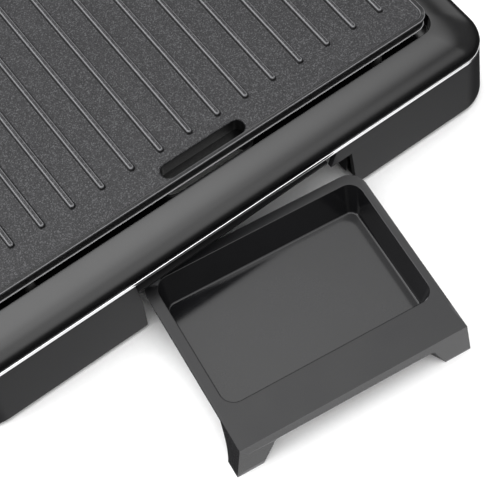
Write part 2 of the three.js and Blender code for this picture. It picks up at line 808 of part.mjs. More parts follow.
// The inlet's shroud: screwed under the plate's edge, round the pins and open to the side.
function terminalGuard() {
  const side = new THREE.Shape();
  side.moveTo(guardStartX, guardBottomZ);
  side.lineTo(guardFaceX, guardBottomZ);
  side.lineTo(guardFaceX, guardTopZ - guardRound);
  side.quadraticCurveTo(guardFaceX, guardTopZ, guardFaceX - guardRound, guardTopZ);
  side.lineTo(guardStartX, guardTopZ);
  const block = alongY(side, -guardHalf, guardHalf);
  const cavity = box(
    guardStartX + guardWall,
    guardFaceX + past,
    -guardHalf + guardWall,
    guardHalf - guardWall,
    guardBottomZ + guardWall,
    guardTopZ - guardWall,
  );
  const backHole = (y, diameter) =>
    barAlongX(diameter + 2 * fit, guardStartX - past, guardStartX + guardWall + past, y, terminalZ);
  const holes = [
    backHole(-terminalY, pinDiameter),
    backHole(terminalY, pinDiameter),
    backHole(earthPinY, earthPinDiameter),
    backHole(0, probeDiameter),
  ];
  const tabX = guardStartX - guardTab;
  const tab = box(tabX, guardStartX + past, -guardHalf, guardHalf, guardTopZ - guardWall, guardTopZ);
  const tabGap = terminalY + screwHead;
  const tabCut = box(tabX - past, guardStartX - fit, -tabGap, tabGap, guardBottomZ, plateTopZ);
  const screws = guardScrewPlaces().map(([x, y]) =>
    cylinder(screwShank + 2 * fit, x, y, guardTopZ - guardWall - past, undersideZ),
  );
  const pads = guardScrewPlaces().map(([x, y]) =>
    cylinder(screwHead, x, y, guardTopZ - past, undersideZ - 2 * fit),
  );
  return cutBy(joined([block, tab, ...pads]), [cavity, ...holes, tabCut, ...screws]);
}

function guardScrewPlaces() {
  const x = guardStartX - guardTab / 2;
  const y = guardHalf - guardTab / 2;
  return [
    [x, -y],
    [x, y],
  ];
}

// A pin from its inner end to the inlet, with a collar behind which it can't be pulled out.
function contactPin(y, diameter, startX) {
  const rod = barAlongX(diameter, startX, terminalX + pinReach, y, terminalZ);
  const collarX = guardStartX + guardWall + fit;
  return rod.add(barAlongX(diameter + 2 * pinCollar, collarX, collarX + pinCollar, y, terminalZ));
}

function probeSleeve() {
  const startX = probeStartX + fit;
  const endX = guardStartX + 2 * guardWall;
  const wall = (probeDiameter - probeBore) / 2;
  const bore = barAlongX(probeBore, startX + 2 * wall, endX + past, 0, terminalZ);
  return barAlongX(probeDiameter, startX, endX, 0, terminalZ).subtract(bore);
}

// ---------------------------------------------------------------- the drip tray, round its own middle
// The tray's front and its two legs as one block, drawn in by an inset all round and open below.
function trayFrontBlock(inset) {
  const low = inset > 0 ? -past : 0;
  const high = inset > 0 ? trayTopZ - trayRim : trayTopZ;
  const lean = (z) => trayFlare * (trayTopZ - z);
  const half = (z) => trayWidth / 2 + lean(z) - inset;
  const frontY = -trayDepth / 2;
  const bendZ = (trayTopZ - apronDrop) * 0.7;
  const rear = (depth) => frontY + depth - inset;
  const face = polygon([
    [-half(low), low],
    [half(low), low],
    [half(high), high],
    [-half(high), high],
  ]);
  const side = new THREE.Shape();
  side.moveTo(frontY - lean(low) + inset, low);
  side.lineTo(rear(legDepthBottom), low);
  side.quadraticCurveTo(rear(legDepthBottom + 2), bendZ, rear(legDepthTop), high);
  side.lineTo(frontY - lean(high) + inset, high);
  const span = trayWidth / 2 + lean(low);
  return alongY(face, frontY - legDepthTop, frontY + legDepthTop).intersect(alongX(side, -span, span));
}

// The gap between the legs up to a height. It narrows towards the back; grow widens it on each side.
function legGap(topZ, round, grow) {
  const bottomLean = trayFlare * trayTopZ;
  const lowHalf = trayWidth / 2 + bottomLean - legWidthBottom + grow;
  const highHalf = trayWidth / 2 - legWidthTop + grow;
  const profile = (narrower) => {
    const low = lowHalf - narrower;
    const high = highHalf - narrower;
    const shape = new THREE.Shape();
    shape.moveTo(-low, -past);
    shape.lineTo(low, -past);
    shape.lineTo(high, topZ - round);
    shape.quadraticCurveTo(high, topZ, high - round, topZ);
    shape.lineTo(round - high, topZ);
    shape.quadraticCurveTo(-high, topZ, -high, topZ - round);
    return shape.getPoints(cornerSteps);
  };
  const front = -trayDepth / 2 - bottomLean;
  const levels = [legDepthTop + bottomLean, -past].map((depth) => ({
    z: -front - depth,
    points: profile(legSlant * depth),
  }));
  return loft(levels).rotate([90, 0, 0]);
}

function trayLegs() {
  const block = trayFrontBlock(0);
  const rimBottomZ = trayTopZ - trayRim;
  const gap = legGap(trayTopZ - apronDrop, apronRound, 0);
  const sideWalls = legGap(rimBottomZ, fit, legShell).subtract(legGap(rimBottomZ + past, fit, 0));
  return joined([cutBy(block, [trayFrontBlock(legShell), gap]), sideWalls.intersect(block)]);
}

function dripTray() {
  const whole = { x0: -trayWidth / 2, x1: trayWidth / 2, y0: -trayDepth / 2, y1: trayDepth / 2 };
  const opening = {
    x0: whole.x0 + basinLeftMargin,
    x1: whole.x1 - basinRightMargin,
    y0: whole.y0 + basinFrontMargin,
    y1: whole.y1 - basinRearMargin,
  };
  const floor = {
    x0: opening.x0 + basinSideDraft,
    x1: opening.x1 - basinSideDraft,
    y0: opening.y0 + basinFrontDraft,
    y1: opening.y1 - basinRearDraft,
  };
  const level = (z, region, grow, corner) => ({ z, points: outline(grown(region, grow), corner + grow) });
  const under = basinFloorZ - trayWall;
  const round = basinFloorRound;
  const rim = prism(outline(whole, trayRearCorner, trayFrontCorner), trayTopZ - trayRim, trayTopZ);
  const tub = loft([
    level(under, floor, trayWall / 2, basinFloorCorner),
    level(under + trayWall / 2, floor, trayWall, basinFloorCorner),
    level(trayTopZ - trayRim / 2, opening, trayWall, basinCorner),
  ]);
  const basin = loft([
    level(basinFloorZ, floor, -round, basinFloorCorner),
    level(basinFloorZ + round * 0.3, floor, -round * 0.3, basinFloorCorner),
    level(basinFloorZ + round, floor, 0, basinFloorCorner),
    level(trayTopZ - basinEdge, opening, 0, basinCorner),
    level(trayTopZ + fit, opening, basinEdge, basinCorner),
  ]);
  return joined([rim, tub, trayLegs()]).subtract(basin);
}

// ---------------------------------------------------------------- assembly
function node(name, solid, material) {
  const mesh = new THREE.Mesh(toGeometry(solid), material);
  mesh.name = name;
  return mesh;
}

function numbered(name, places, make, material) {
  return places.map((place, index) => node(`${name}_${index + 1}`, make(place), material));
}

function baseGroup() {
  const base = new THREE.Group();
  base.add(
    node("skirt_housing", skirtHousing(), satinGrey),
    node("trim_band", trimBand(), brightChrome),
    node("top_frame", topFrame(), glossBlack),
    node("bottom_cover", bottomCover(), matteBlack),
    node("tray_bay", trayBay(), matteBlack),
    node("tray_rail_left", trayRail(-1), matteBlack),
    node("tray_rail_right", trayRail(1), matteBlack),
    node("reflector_pan", reflectorPan(), steel),
    node("drain_chute", drainChute(), matteBlack),
    ...numbered("plate_rest", plateRestPlaces(), plateRest, heatProof),
    ...numbered("foot", footPlaces(), rubberFoot, rubber),
    ...numbered(
      "cover_screw",
      postPlaces(),
      (place) => screwUp(place, coverBottomZ - fit, coverTopZ + postDepth - 2 * fit),
      steel,
    ),
    ...numbered(
      "bay_screw",
      bayScrewPlaces(),
      (place) => screwUp(place, coverBottomZ - fit, coverTopZ + 2 * bayWall),
      steel,
    ),
  );
  return base;
}

function plateGroup() {
  const plate = new THREE.Group();
  plate.add(
    node("grill_plate", grillPlate(), nonStick),
    node("heating_element", heatingElement(), steel),
    ...numbered("element_clip", clipPlaces(), elementClip, steel),
    node("terminal_guard", terminalGuard(), matteBlack),
    node("contact_pin_left", contactPin(-terminalY, pinDiameter, terminalX), steel),
    node("contact_pin_right", contactPin(terminalY, pinDiameter, terminalX), steel),
    node("earth_pin", contactPin(earthPinY, earthPinDiameter, guardStartX - fit), steel),
    node("probe_sleeve", probeSleeve(), steel),
    ...numbered(
      "guard_screw",
      guardScrewPlaces(),
      (place) => screwUp(place, guardTopZ - guardWall - fit, undersideZ + guardScrewBite),
      steel,
    ),
  );
  return plate;
}

// The drip tray turned back from its seat on the large circle that it follows.
function trayGroup() {
  const swing = new THREE.Group();
  swing.position.set(bayCentreX - traySwingX, traySeatY + traySwingY, 0);
  swing.rotation.z = -trayYaw;
  const tray = node("drip_tray", dripTray(), trayBlack);
  tray.position.set(traySwingX, -traySwingY, 0);
  swing.add(tray);
  return swing;
}

// The origin is on the table, in the middle of the ground that the griddle and its drawn tray cover.
const griddle = new THREE.Group();
griddle.add(baseGroup(), plateGroup(), trayGroup());
griddle.updateMatrixWorld(true);
const ground = new THREE.Box3().setFromObject(griddle, true).getCenter(new THREE.Vector3());
griddle.position.set(-ground.x, -ground.y, 0);

export default griddle;
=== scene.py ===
"""Electric griddle: a ribbed non-stick plate in a gloss frame, on a flared casing with a drawn drip tray."""
import json
import math

import bmesh
import bpy
from mathutils import Matrix, Vector


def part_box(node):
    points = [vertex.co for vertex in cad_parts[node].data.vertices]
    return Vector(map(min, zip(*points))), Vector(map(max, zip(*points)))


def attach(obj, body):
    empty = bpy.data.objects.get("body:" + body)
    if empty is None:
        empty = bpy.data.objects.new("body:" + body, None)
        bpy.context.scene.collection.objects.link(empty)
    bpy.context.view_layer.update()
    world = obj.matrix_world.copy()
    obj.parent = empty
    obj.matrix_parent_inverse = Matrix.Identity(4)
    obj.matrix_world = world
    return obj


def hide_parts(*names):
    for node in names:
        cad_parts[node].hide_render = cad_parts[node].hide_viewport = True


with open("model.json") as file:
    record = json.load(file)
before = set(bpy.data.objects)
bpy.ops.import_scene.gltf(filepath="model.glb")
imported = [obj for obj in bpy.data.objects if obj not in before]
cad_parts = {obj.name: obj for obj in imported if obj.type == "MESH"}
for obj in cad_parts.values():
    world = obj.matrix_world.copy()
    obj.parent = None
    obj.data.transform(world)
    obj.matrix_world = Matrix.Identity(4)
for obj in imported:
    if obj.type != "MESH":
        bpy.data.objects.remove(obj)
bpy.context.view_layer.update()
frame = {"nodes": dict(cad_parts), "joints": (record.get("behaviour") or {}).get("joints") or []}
scene = bpy.context.scene
scene.view_settings.view_transform = "Standard"

MM = 0.001


def box_mm(node):
    """Lowest and highest corner of a CAD node, in millimetres."""
    low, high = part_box(node)
    return low / MM, high / MM


# ------------------------------------------------------------------ sizes, in millimetres
plate_low, plate_high = box_mm("grill_plate")
frame_high = box_mm("top_frame")[1]
trim_low, trim_high = box_mm("trim_band")
skirt_low, skirt_high = box_mm("skirt_housing")
tray_top = box_mm("drip_tray")[1].z
bay_low, bay_high = box_mm("tray_bay")
guard_low, guard_high = box_mm("terminal_guard")
cover_high = box_mm("bottom_cover")[1]
rails_low, rails_high = box_mm("tray_rail_left")[0], box_mm("tray_rail_right")[1]

BODY_CENTRE = (skirt_low + skirt_high) / 2
PLATE_X = (plate_high.x - plate_low.x) / 2
PLATE_Y = (plate_high.y - plate_low.y) / 2

GAP = 0.3  # between pieces that touch
TRIM_BULGE = 0.5
TRIM_DEPTH = 3.4
TRIM_STEPS = 10
TRIM_FULLNESS = 0.3  # the power that squares up the crown of its face
BODY_OVERHANG = (trim_high.x - trim_low.x) / 2 - PLATE_X - TRIM_BULGE
BODY_CORNER = 22.0
FRAME_BOTTOM = trim_high.z + GAP
SHOULDER_RISE = frame_high.z - FRAME_BOTTOM
FRAME_WALL = 2.6
WELL_GAP = 3.5
WELL_CORNER = 11.0
WELL_WALL = 2.4
WELL_EDGE_ROUND = 0.35
WELL_EDGE_STEPS = 5
SHOULDER_STEPS = 28
SHELL_STEPS = 8
SHELL_TOP_ANGLE = math.radians(74)
LEDGE_TOP = FRAME_BOTTOM + 3.0
LEDGE_WIDTH = 12.0
LEDGE_THICKNESS = 2.2
POST_OUT = 17.0
POST_SETBACK = 30.0
POST_RADIUS = 4.0
POST_INTO_FRAME = 6.0
CHUTE_CLEARANCE = 3.3  # round the collar, where the ledge is cut away for it

SKIRT_TOP = skirt_high.z
SKIRT_BOTTOM = skirt_low.z
SKIRT_HEIGHT = SKIRT_TOP - SKIRT_BOTTOM
SKIRT_FLARE = (skirt_high.x - skirt_low.x) / 2 - PLATE_X - BODY_OVERHANG - TRIM_BULGE
SKIRT_WALL = 2.4
SKIRT_STEP = 1.0
SKIRT_FLANGE = 9.0
SKIRT_FLANGE_THICKNESS = 2.0
SKIRT_FOOT_ROUND = 1.2
SKIRT_TOP_CHAMFER = 0.4

PLATE_HEIGHT = 10.0
PLATE_PROUD = 9.5
PLATE_TOP = frame_high.z + PLATE_PROUD
PLATE_BOTTOM = PLATE_TOP - PLATE_HEIGHT
RIM_HEIGHT = 1.2
RIM_WIDTH = 3.0
RIM_SIDE_TOP = 1.1
RIM_OUTER_ROUND = 0.8
RIM_OUTER_STEPS = 5
RIM_SLOPE = math.radians(60)  # of its inner side
RIM_CREST = (0.3, 0.4)  # how far out from the rim's width the rounding's middle lies, and its radius
RIM_FOOT = (0.9, 0.5)  # the same at the foot, further in
RIM_STEPS = 4
FIELD = PLATE_TOP - RIM_HEIGHT
PLATE_SKIN = 5.0
UNDERSIDE = FIELD - PLATE_SKIN
PLATE_WALL = 4.0
PLATE_CORNER = 9.0
PLATE_DRAFT = 0.8
SIDE_INSET = 0.1
PLATE_BEAD = (  # depth behind the side and height above the lower edge, round the bead
    (0.25, 0.0), (0.0, 0.25), (0.0, 1.0), (0.25, 1.3), (PLATE_DRAFT, 1.45),
)
RIB_COUNT = 15
RIB_SIDE_MARGIN = 23.0
RIB_END_MARGIN = 20.5
RIB_END_STEPS = 8
RIB_ROOT = 0.5  # how far a rib runs into the plate
RIB_SEAT = 0.02  # how far its foot lies below the field, so that the two meet
SLOT_LENGTH = 60.0
SLOT_WIDTH = 10.0
SLOT_INSET = 8.8
SLOT_LIP = 1.3
SLOT_LIP_STEPS = 6
COLLAR_WALL = 2.0
COLLAR_DROP = 6.0
BOSS_LENGTH = (55.5, 141.7)
BOSS_WIDTH = 14.0
BOSS_BOTTOM = plate_low.z
PROBE_RADIUS = 4.3
BORE_END = 2.5
BORE_PAST = 5.0
PIN_AXIS = FRAME_BOTTOM + 2.0
NOTCH_PLAY = 2.0
GUARD_TAB = 8.0

TRAY_WIDTH = 154.5
TRAY_DEPTH = 124.0
TRAY_RIM = 3.2
TRAY_WALL = 2.0
TRAY_REAR_CORNER = 12.0
TRAY_FRONT_CORNER = 1.5
TRAY_FLARE = SKIRT_FLARE / SKIRT_HEIGHT
BASIN_FLOOR = 5.5
BASIN_CORNER = 9.0
BASIN_MARGIN = {"left": 7.3, "right": 5.2, "front": 26.6, "rear": 6.5}
BASIN_DRAFT = {"side": 2.5, "front": 3.0, "rear": 6.5}
BASIN_FLOOR_CORNER = 6.0
BASIN_FLOOR_ROUND = 1.5
BASIN_UNDERSIDE = ((1.0, 0.0), (2.0, 1.0))  # growth past the floor and rise, round the basin's underside
BASIN_LIP = 0.7
BASIN_EDGE_STEPS = 6
APRON_DROP = 9.0
APRON_ROUND = 4.0
LEG_WIDTH_TOP = 20.0
LEG_WIDTH_BOTTOM = 17.5
LEG_DEPTH_TOP = 24.0
LEG_DEPTH_BOTTOM = 7.0
LEG_SLANT = 0.6
LEG_SHELL = 2.4
LEG_BEND_AT = 0.7  # share of the height under the apron at which the rear turns back
LEG_BEND_DEPTH = 2.0
LEG_STEPS = 18
LEG_ARC_STEPS = 8
LEG_ROOM_CORNER = 0.5

BAY_BACK_GAP = 2.5
BAY_WALL = 2.0
BAY_FLANGE = 8.0
BAY_CORNERS = (3.0, 0.5)  # rear and front
BAY_FLANGE_CORNER = 4.0
BAY_ROOM_CORNERS = (2.0, 0.3)  # rear and front
BAY_LINTEL_RISE = 7.0
BAY_RIGHT_LEAN = 1.4
DOORWAY_FLARE = 1.5
WINDOW_LEFT_REACH = 2.0
WINDOW_RIGHT_STEP = 12.4
WINDOW_SLANT = 5.5
WINDOW_BEND_DROP = 8.0
LIP_REACH = 4.2
LIP_BOW = 1.8
LIP_STEPS = 16
LIP_PLAY = 0.6
SCREW_HOLE = 2.3

CORNER_STEPS = 14
CIRCLE_STEPS = 24
FOOT_ROUND_STEPS = 5
PAST = 1.0  # how far a cutting tool runs past the face that it cuts


# ------------------------------------------------------------------ camera
CAMERA_FROM_BODY = Vector((-234.98, -468.76, 786.04))  # from the body's centre, on the table
CAMERA_AZIMUTH = math.radians(36.56)
CAMERA_DOWN = math.radians(63.02)
CAMERA_ROLL = math.radians(-0.6)
CAMERA_LENS = 100.8


def make_camera():
    data = bpy.data.cameras.new("camera")
    data.lens = CAMERA_LENS
    data.sensor_width = 36.0
    data.clip_start = 0.05
    camera = bpy.data.objects.new("camera", data)
    scene.collection.objects.link(camera)
    level = math.cos(CAMERA_DOWN)
    forward = Vector(
        (math.sin(CAMERA_AZIMUTH) * level, math.cos(CAMERA_AZIMUTH) * level, -math.sin(CAMERA_DOWN))
    )
    right = Vector((math.cos(CAMERA_AZIMUTH), -math.sin(CAMERA_AZIMUTH), 0))
    up = right.cross(forward)
    rolled_right = right * math.cos(CAMERA_ROLL) + up * math.sin(CAMERA_ROLL)
    rolled_up = up * math.cos(CAMERA_ROLL) - right * math.sin(CAMERA_ROLL)
    turn = Matrix((rolled_right, rolled_up, -forward)).transposed().to_4x4()
    place = Vector((BODY_CENTRE.x, BODY_CENTRE.y, 0)) + CAMERA_FROM_BODY
    camera.matrix_world = Matrix.Translation(place * MM) @ turn
    scene.camera = camera


make_camera()


# ------------------------------------------------------------------ materials
NOISE_SPAN = (0.3, 0.7)  # most values of a noise pattern lie between these
OUTER_ZONE = (5.0, 4.6)  # how far in from the plate's outline its zone starts and is full, in millimetres


def linear(hex_colour):
    """An sRGB colour such as 0x3A3B3D as a linear RGBA tuple."""
    channels = [(hex_colour >> shift & 255) / 255 for shift in (16, 8, 0)]
    return tuple(c / 12.92 if c <= 0.04045 else ((c + 0.055) / 1.055) ** 2.4 for c in channels) + (1.0,)


def per_mm(size):
    """The scale of a pattern whose features are about this many millimetres apart."""
    return 1 / (size * MM)


def add(tree, kind, settings=None, links=None, out=None):
    """Adds a shader node, sets its properties and sockets, and links other nodes' sockets into it. Returns
    the node, or the output that out names."""
    node = tree.nodes.new("ShaderNode" + kind)
    for name, value in (settings or {}).items():
        if isinstance(name, str) and hasattr(node, name):
            setattr(node, name, value)
        else:
            node.inputs[name].default_value = value
    for name, source in (links or {}).items():
        tree.links.new(source, node.inputs[name])
    return node if out is None else node.outputs[out]


def start_material(name, settings):
    """A material with one surface shader. Returns it, its tree, the shader, and the links that lay a pattern
    on the object's own coordinates."""
    material = bpy.data.materials.new(name)
    material.use_nodes = True
    tree = material.node_tree
    tree.nodes.clear()
    shader = add(tree, "BsdfPrincipled", settings)
    add(tree, "OutputMaterial", links={"Surface": shader.outputs["BSDF"]})
    return material, tree, shader, {"Vector": add(tree, "TexCoord", out="Object")}


def toned(tree, pattern, span, first, second, share=1.0):
    """A colour that turns from first towards second, by share at most, as a pattern rises through a span.
    Each colour is an sRGB hex value or a socket."""
    rising = {"From Min": span[0], "From Max": span[1], "To Max": share}
    settings = {"data_type": "RGBA"}
    links = {"Factor": add(tree, "MapRange", rising, {"Value": pattern}, "Result")}
    for socket, colour in ((6, first), (7, second)):
        if isinstance(colour, int):
            settings[socket] = linear(colour)
        else:
            links[socket] = colour
    return add(tree, "Mix", settings, links, 2)


def worn_edges(tree, colour, worn, span=(0.52, 0.6)):
    """A colour that turns to a worn one along convex edges, where the pointiness is above a half."""
    return toned(tree, add(tree, "NewGeometry", out="Pointiness"), span, colour, worn)


def band(tree, value, rise, fall, most=1.0):
    """A share that rises to most over one range of a value and falls to nothing over the next."""
    up = {"From Min": rise[0], "From Max": rise[1], "To Max": most}
    down = {"From Min": fall[0], "From Max": fall[1], "To Min": 1.0, "To Max": 0.0}
    sides = [add(tree, "MapRange", side, {"Value": value}, "Result") for side in (up, down)]
    return add(tree, "Math", {"operation": "MULTIPLY"}, dict(enumerate(sides)), "Value")


def outer_zone(tree, place):
    """1 within the raised rim's width of the plate's outline, 0 further in."""
    parts = add(tree, "SeparateXYZ", links=place)
    zones = {}
    outline = (("X", BODY_CENTRE.x, PLATE_X), ("Y", BODY_CENTRE.y, PLATE_Y))
    for side, (axis, middle, half) in enumerate(outline):
        from_middle = {"operation": "SUBTRACT", 1: middle * MM}
        shifted = add(tree, "Math", from_middle, {0: parts.outputs[axis]}, "Value")
        away = add(tree, "Math", {"operation": "ABSOLUTE"}, {0: shifted}, "Value")
        rising = {"From Min": (half - OUTER_ZONE[0]) * MM, "From Max": (half - OUTER_ZONE[1]) * MM}
        zones[side] = add(tree, "MapRange", rising, {"Value": away}, "Result")
    return add(tree, "Math", {"operation": "MAXIMUM"}, zones, "Value")


def finish_surface(tree, shader, colour, shine, roughness, grain, depth, strength, span=NOISE_SPAN):
    """Gives the shader its colour, a roughness that changes between two values as the shine pattern rises
    through a span, and a raised grain whose depth is in millimetres."""
    change = {"From Min": span[0], "From Max": span[1], "To Min": roughness[0], "To Max": roughness[1]}
    raised = {"Strength": strength, "Distance": depth * MM}
    sources = {
        "Base Color": colour,
        "Roughness": add(tree, "MapRange", change, {"Value": shine}, "Result"),
        "Normal": add(tree, "Bump", raised, {"Height": grain}, "Normal"),
    }
    for socket, source in sources.items():
        tree.links.new(source, shader.inputs[socket])


def sprayed_non_stick():
    """PTFE coating sprayed on a blasted aluminium casting: near black with fine pale flecks and a pebbly
    satin skin. The flecks are finer than this in life; they are drawn at 0.6 mm so that they show."""
    material, tree, shader, place = start_material("sprayed_non_stick", {"IOR": 1.35})
    cells = add(tree, "TexVoronoi", {"Scale": per_mm(0.6), "Randomness": 1.0}, place, "Color")
    fleck = add(tree, "SeparateColor", links={"Color": cells}, out="Red")
    cloud = add(tree, "TexNoise", {"Scale": per_mm(60.0), "Detail": 3.0}, place, "Fac")
    grain = add(tree, "TexNoise", {"Scale": per_mm(0.6), "Roughness": 0.6}, place, "Fac")
    pebbles = add(tree, "TexNoise", {"Scale": per_mm(0.8)}, place, "Fac")
    ground = toned(tree, cloud, NOISE_SPAN, 0x141416, 0x1B1B1D)
    grainy = toned(tree, grain, (0.4, 0.62), ground, 0x333335, 0.9)
    flecked = toned(tree, fleck, (0.66, 1.0), grainy, 0x59595B, 0.7)
    coat = worn_edges(tree, flecked, 0x5C5C5D, (0.53, 0.6))
    # painted highlight on the ribs' shoulders, paler than their crests, and painted shade as a dark band along
    # their feet
    height = add(tree, "SeparateXYZ", links=place, out="Z")
    shares = (0.04, 0.14, 0.4, 0.6, 0.8, 0.94, 0.985)  # of a rib's height, from the field to the crest
    levels = [(FIELD + share * (plate_high.z - FIELD)) * MM for share in shares]
    soot_and_painted_shade = band(tree, height, levels[0:2], levels[2:4], 0.75)
    rib_highlight_band = band(tree, height, levels[3:5], levels[5:7])
    uneven = {"From Min": 0.3, "From Max": 0.6, "To Min": 0.45, "To Max": 0.95}
    patchy = add(tree, "MapRange", uneven, {"Value": grain}, "Result")
    painted_rib_highlight = add(tree, "Math", {"operation": "MULTIPLY"}, {0: rib_highlight_band, 1: patchy}, "Value")
    # mixes in the painted shade along the ribs' feet and the painted highlight on their shoulders
    for share, colour in ((soot_and_painted_shade, 0x060606), (painted_rib_highlight, 0x8A8A8C)):
        coat = add(tree, "Mix", {"data_type": "RGBA", 7: linear(colour)}, {"Factor": share, 6: coat}, 2)
    # the flecks are only sprayed from above: the slot and the sides stay plain dark
    coat = toned(tree, height, ((FIELD - 1.2) * MM, (FIELD - 0.4) * MM), 0x0B0B0C, coat)
    # painted highlights: a pale line along the rim's top edges, and a paler line along the bead at the plate's
    # lower edge
    zone = outer_zone(tree, place)
    for base, rise, fall, colour in (
        (PLATE_TOP, (-0.75, -0.4), (-0.14, -0.03), 0x78787A),
        (PLATE_BOTTOM, (0.55, 0.75), (1.2, 1.4), 0xC4C4C6),
    ):
        line = band(tree, height, [(base + z) * MM for z in rise], [(base + z) * MM for z in fall])
        share = add(tree, "Math", {"operation": "MULTIPLY"}, {0: line, 1: zone}, "Value")
        coat = add(tree, "Mix", {"data_type": "RGBA", 7: linear(colour)}, {"Factor": share, 6: coat}, 2)
    finish_surface(tree, shader, coat, grain, (0.34, 0.48), pebbles, 0.05, 0.8)
    return material


def gloss_abs():
    """High-gloss black ABS, moulded in a polished tool: clear reflections, with a faint long ripple from the
    moulding and hairline scuffs that only blur the shine."""
    material, tree, shader, place = start_material("gloss_abs", {"IOR": 1.58})
    scuff = add(tree, "TexNoise", {"Scale": per_mm(26.0), "Detail": 5.0, "Roughness": 0.7}, place, "Fac")
    ripple = add(tree, "TexNoise", {"Scale": per_mm(60.0), "Detail": 1.0}, place, "Fac")
    tone = toned(tree, scuff, (0.35, 0.7), 0x060607, 0x0A0A0B)
    finish_surface(tree, shader, tone, scuff, (0.16, 0.24), ripple, 0.05, 0.5, (0.3, 0.75))
    return material


def grained_abs():
    """Dark grey ABS from a spark-eroded tool: an even, fine grain that gives a soft satin sheen."""
    material, tree, shader, place = start_material("grained_abs", {"IOR": 1.46})
    grain = add(tree, "TexNoise", {"Scale": per_mm(0.7), "Detail": 3.0, "Roughness": 0.6}, place, "Fac")
    cloud = add(tree, "TexNoise", {"Scale": per_mm(90.0)}, place, "Fac")
    tone = toned(tree, cloud, NOISE_SPAN, 0x18181A, 0x1D1D1F)
    fine = toned(tree, grain, NOISE_SPAN, tone, 0x252527, 0.5)
    worn = worn_edges(tree, fine, 0x3A3A3C, (0.53, 0.62))
    finish_surface(tree, shader, worn, grain, (0.36, 0.46), grain, 0.03, 0.6)
    return material


def tray_phenolic():
    """Dark grey phenolic moulding: the basin comes from a polished punch and mirrors its walls, the rim and
    the legs from a satin cavity; the filler clouds the colour slightly and wiping leaves faint marks."""
    material, tree, shader, place = start_material("tray_phenolic", {"IOR": 1.41})
    cloud = add(tree, "TexNoise", {"Scale": per_mm(34.0), "Detail": 4.0, "Roughness": 0.6}, place, "Fac")
    grain = add(tree, "TexNoise", {"Scale": per_mm(0.8)}, place, "Fac")
    tone = toned(tree, cloud, NOISE_SPAN, 0x131314, 0x18181A)
    fine = toned(tree, grain, (0.35, 0.7), tone, 0x212123, 0.3)
    worn = worn_edges(tree, fine, 0x5A5A5C)
    finish_surface(tree, shader, worn, cloud, (0.09, 0.15), grain, 0.006, 0.4, (0.3, 0.75))
    # so far the shader has the basin's polish; from just below the rim's top upwards the satin takes over
    polished = shader.inputs["Roughness"].links[0].from_socket
    clouded = {"From Min": 0.3, "From Max": 0.75, "To Min": 0.3, "To Max": 0.4}
    satin = add(tree, "MapRange", clouded, {"Value": cloud}, "Result")
    height = add(tree, "SeparateXYZ", links=place, out="Z")
    rising = {"From Min": (tray_top - 0.3) * MM, "From Max": (tray_top - 0.05) * MM}
    on_rim = add(tree, "MapRange", rising, {"Value": height}, "Result")
    roughness = add(tree, "Mix", {"data_type": "FLOAT"}, {0: on_rim, 2: polished, 3: satin}, 0)
    tree.links.new(roughness, shader.inputs["Roughness"])
    return material


def chrome_plate():
    """Bright chrome plating on a moulded strip: a mirror with the faintest unevenness."""
    material, tree, shader, place = start_material("chrome_plate", {"Metallic": 1.0})
    haze = add(tree, "TexNoise", {"Scale": per_mm(18.0), "Detail": 3.0}, place, "Fac")
    tone = toned(tree, haze, NOISE_SPAN, 0xF9F9FA, 0xF1F1F3)
    finish_surface(tree, shader, tone, haze, (0.06, 0.12), haze, 0.01, 0.3)
    return material


def matt_polypropylene():
    """Black glass-filled polypropylene of the hidden mouldings: matt, with a coarse dull grain."""
    material, tree, shader, place = start_material("matt_polypropylene", {"IOR": 1.4})
    grain = add(tree, "TexNoise", {"Scale": per_mm(1.1), "Detail": 3.0, "Roughness": 0.6}, place, "Fac")
    worn = worn_edges(tree, toned(tree, grain, NOISE_SPAN, 0x0A0A0B, 0x101011), 0x1C1C1D)
    finish_surface(tree, shader, worn, grain, (0.55, 0.72), grain, 0.05, 0.7)
    return material


def aluminised_sheet():
    """Aluminised steel sheet, pressed: a bright grey metal with rolled streaks and a little heat haze."""
    material, tree, shader, place = start_material("aluminised_sheet", {"Metallic": 1.0})
    rolled = {"Vector": add(tree, "Mapping", {"Scale": (0.05, 1.0, 1.0)}, place, "Vector")}
    streak = add(tree, "TexNoise", {"Scale": per_mm(1.2), "Detail": 3.0}, rolled, "Fac")
    haze = add(tree, "TexNoise", {"Scale": per_mm(40.0), "Detail": 3.0}, place, "Fac")
    tone = toned(tree, haze, (0.4, 0.75), 0xB4B5B6, 0x9A9286)
    finish_surface(tree, shader, tone, streak, (0.28, 0.42), streak, 0.02, 0.6)
    return material


def sheathed_rod():
    """Nickel alloy sheath of the heating rod, oxidised in use: a dark olive metal with straw tints and soot."""
    material, tree, shader, place = start_material("sheathed_rod", {"Metallic": 0.85})
    tint = add(tree, "TexNoise", {"Scale": per_mm(22.0), "Detail": 3.0}, place, "Fac")
    soot_and_painted_shade = add(tree, "TexNoise", {"Scale": per_mm(2.4), "Detail": 4.0, "Roughness": 0.65}, place, "Fac")
    warm = toned(tree, tint, (0.35, 0.65), 0x4B4A44, 0x5E5346)
    tone = toned(tree, soot_and_painted_shade, (0.45, 0.75), warm, 0x2B2B2D, 0.7)
    finish_surface(tree, shader, tone, soot_and_painted_shade, (0.4, 0.62), soot_and_painted_shade, 0.03, 0.5)
    return material


def zinc_plated_steel():
    """Zinc-plated screws and clips and nickelled pins: a pale bluish metal with a soft shine."""
    material, tree, shader, place = start_material("zinc_plated_steel", {"Metallic": 1.0})
    mottle = add(tree, "TexNoise", {"Scale": per_mm(1.6), "Detail": 4.0}, place, "Fac")
    tone = toned(tree, mottle, NOISE_SPAN, 0xAEB1B5, 0xC4C6C9)
    finish_surface(tree, shader, tone, mottle, (0.26, 0.4), mottle, 0.015, 0.5)
    return material


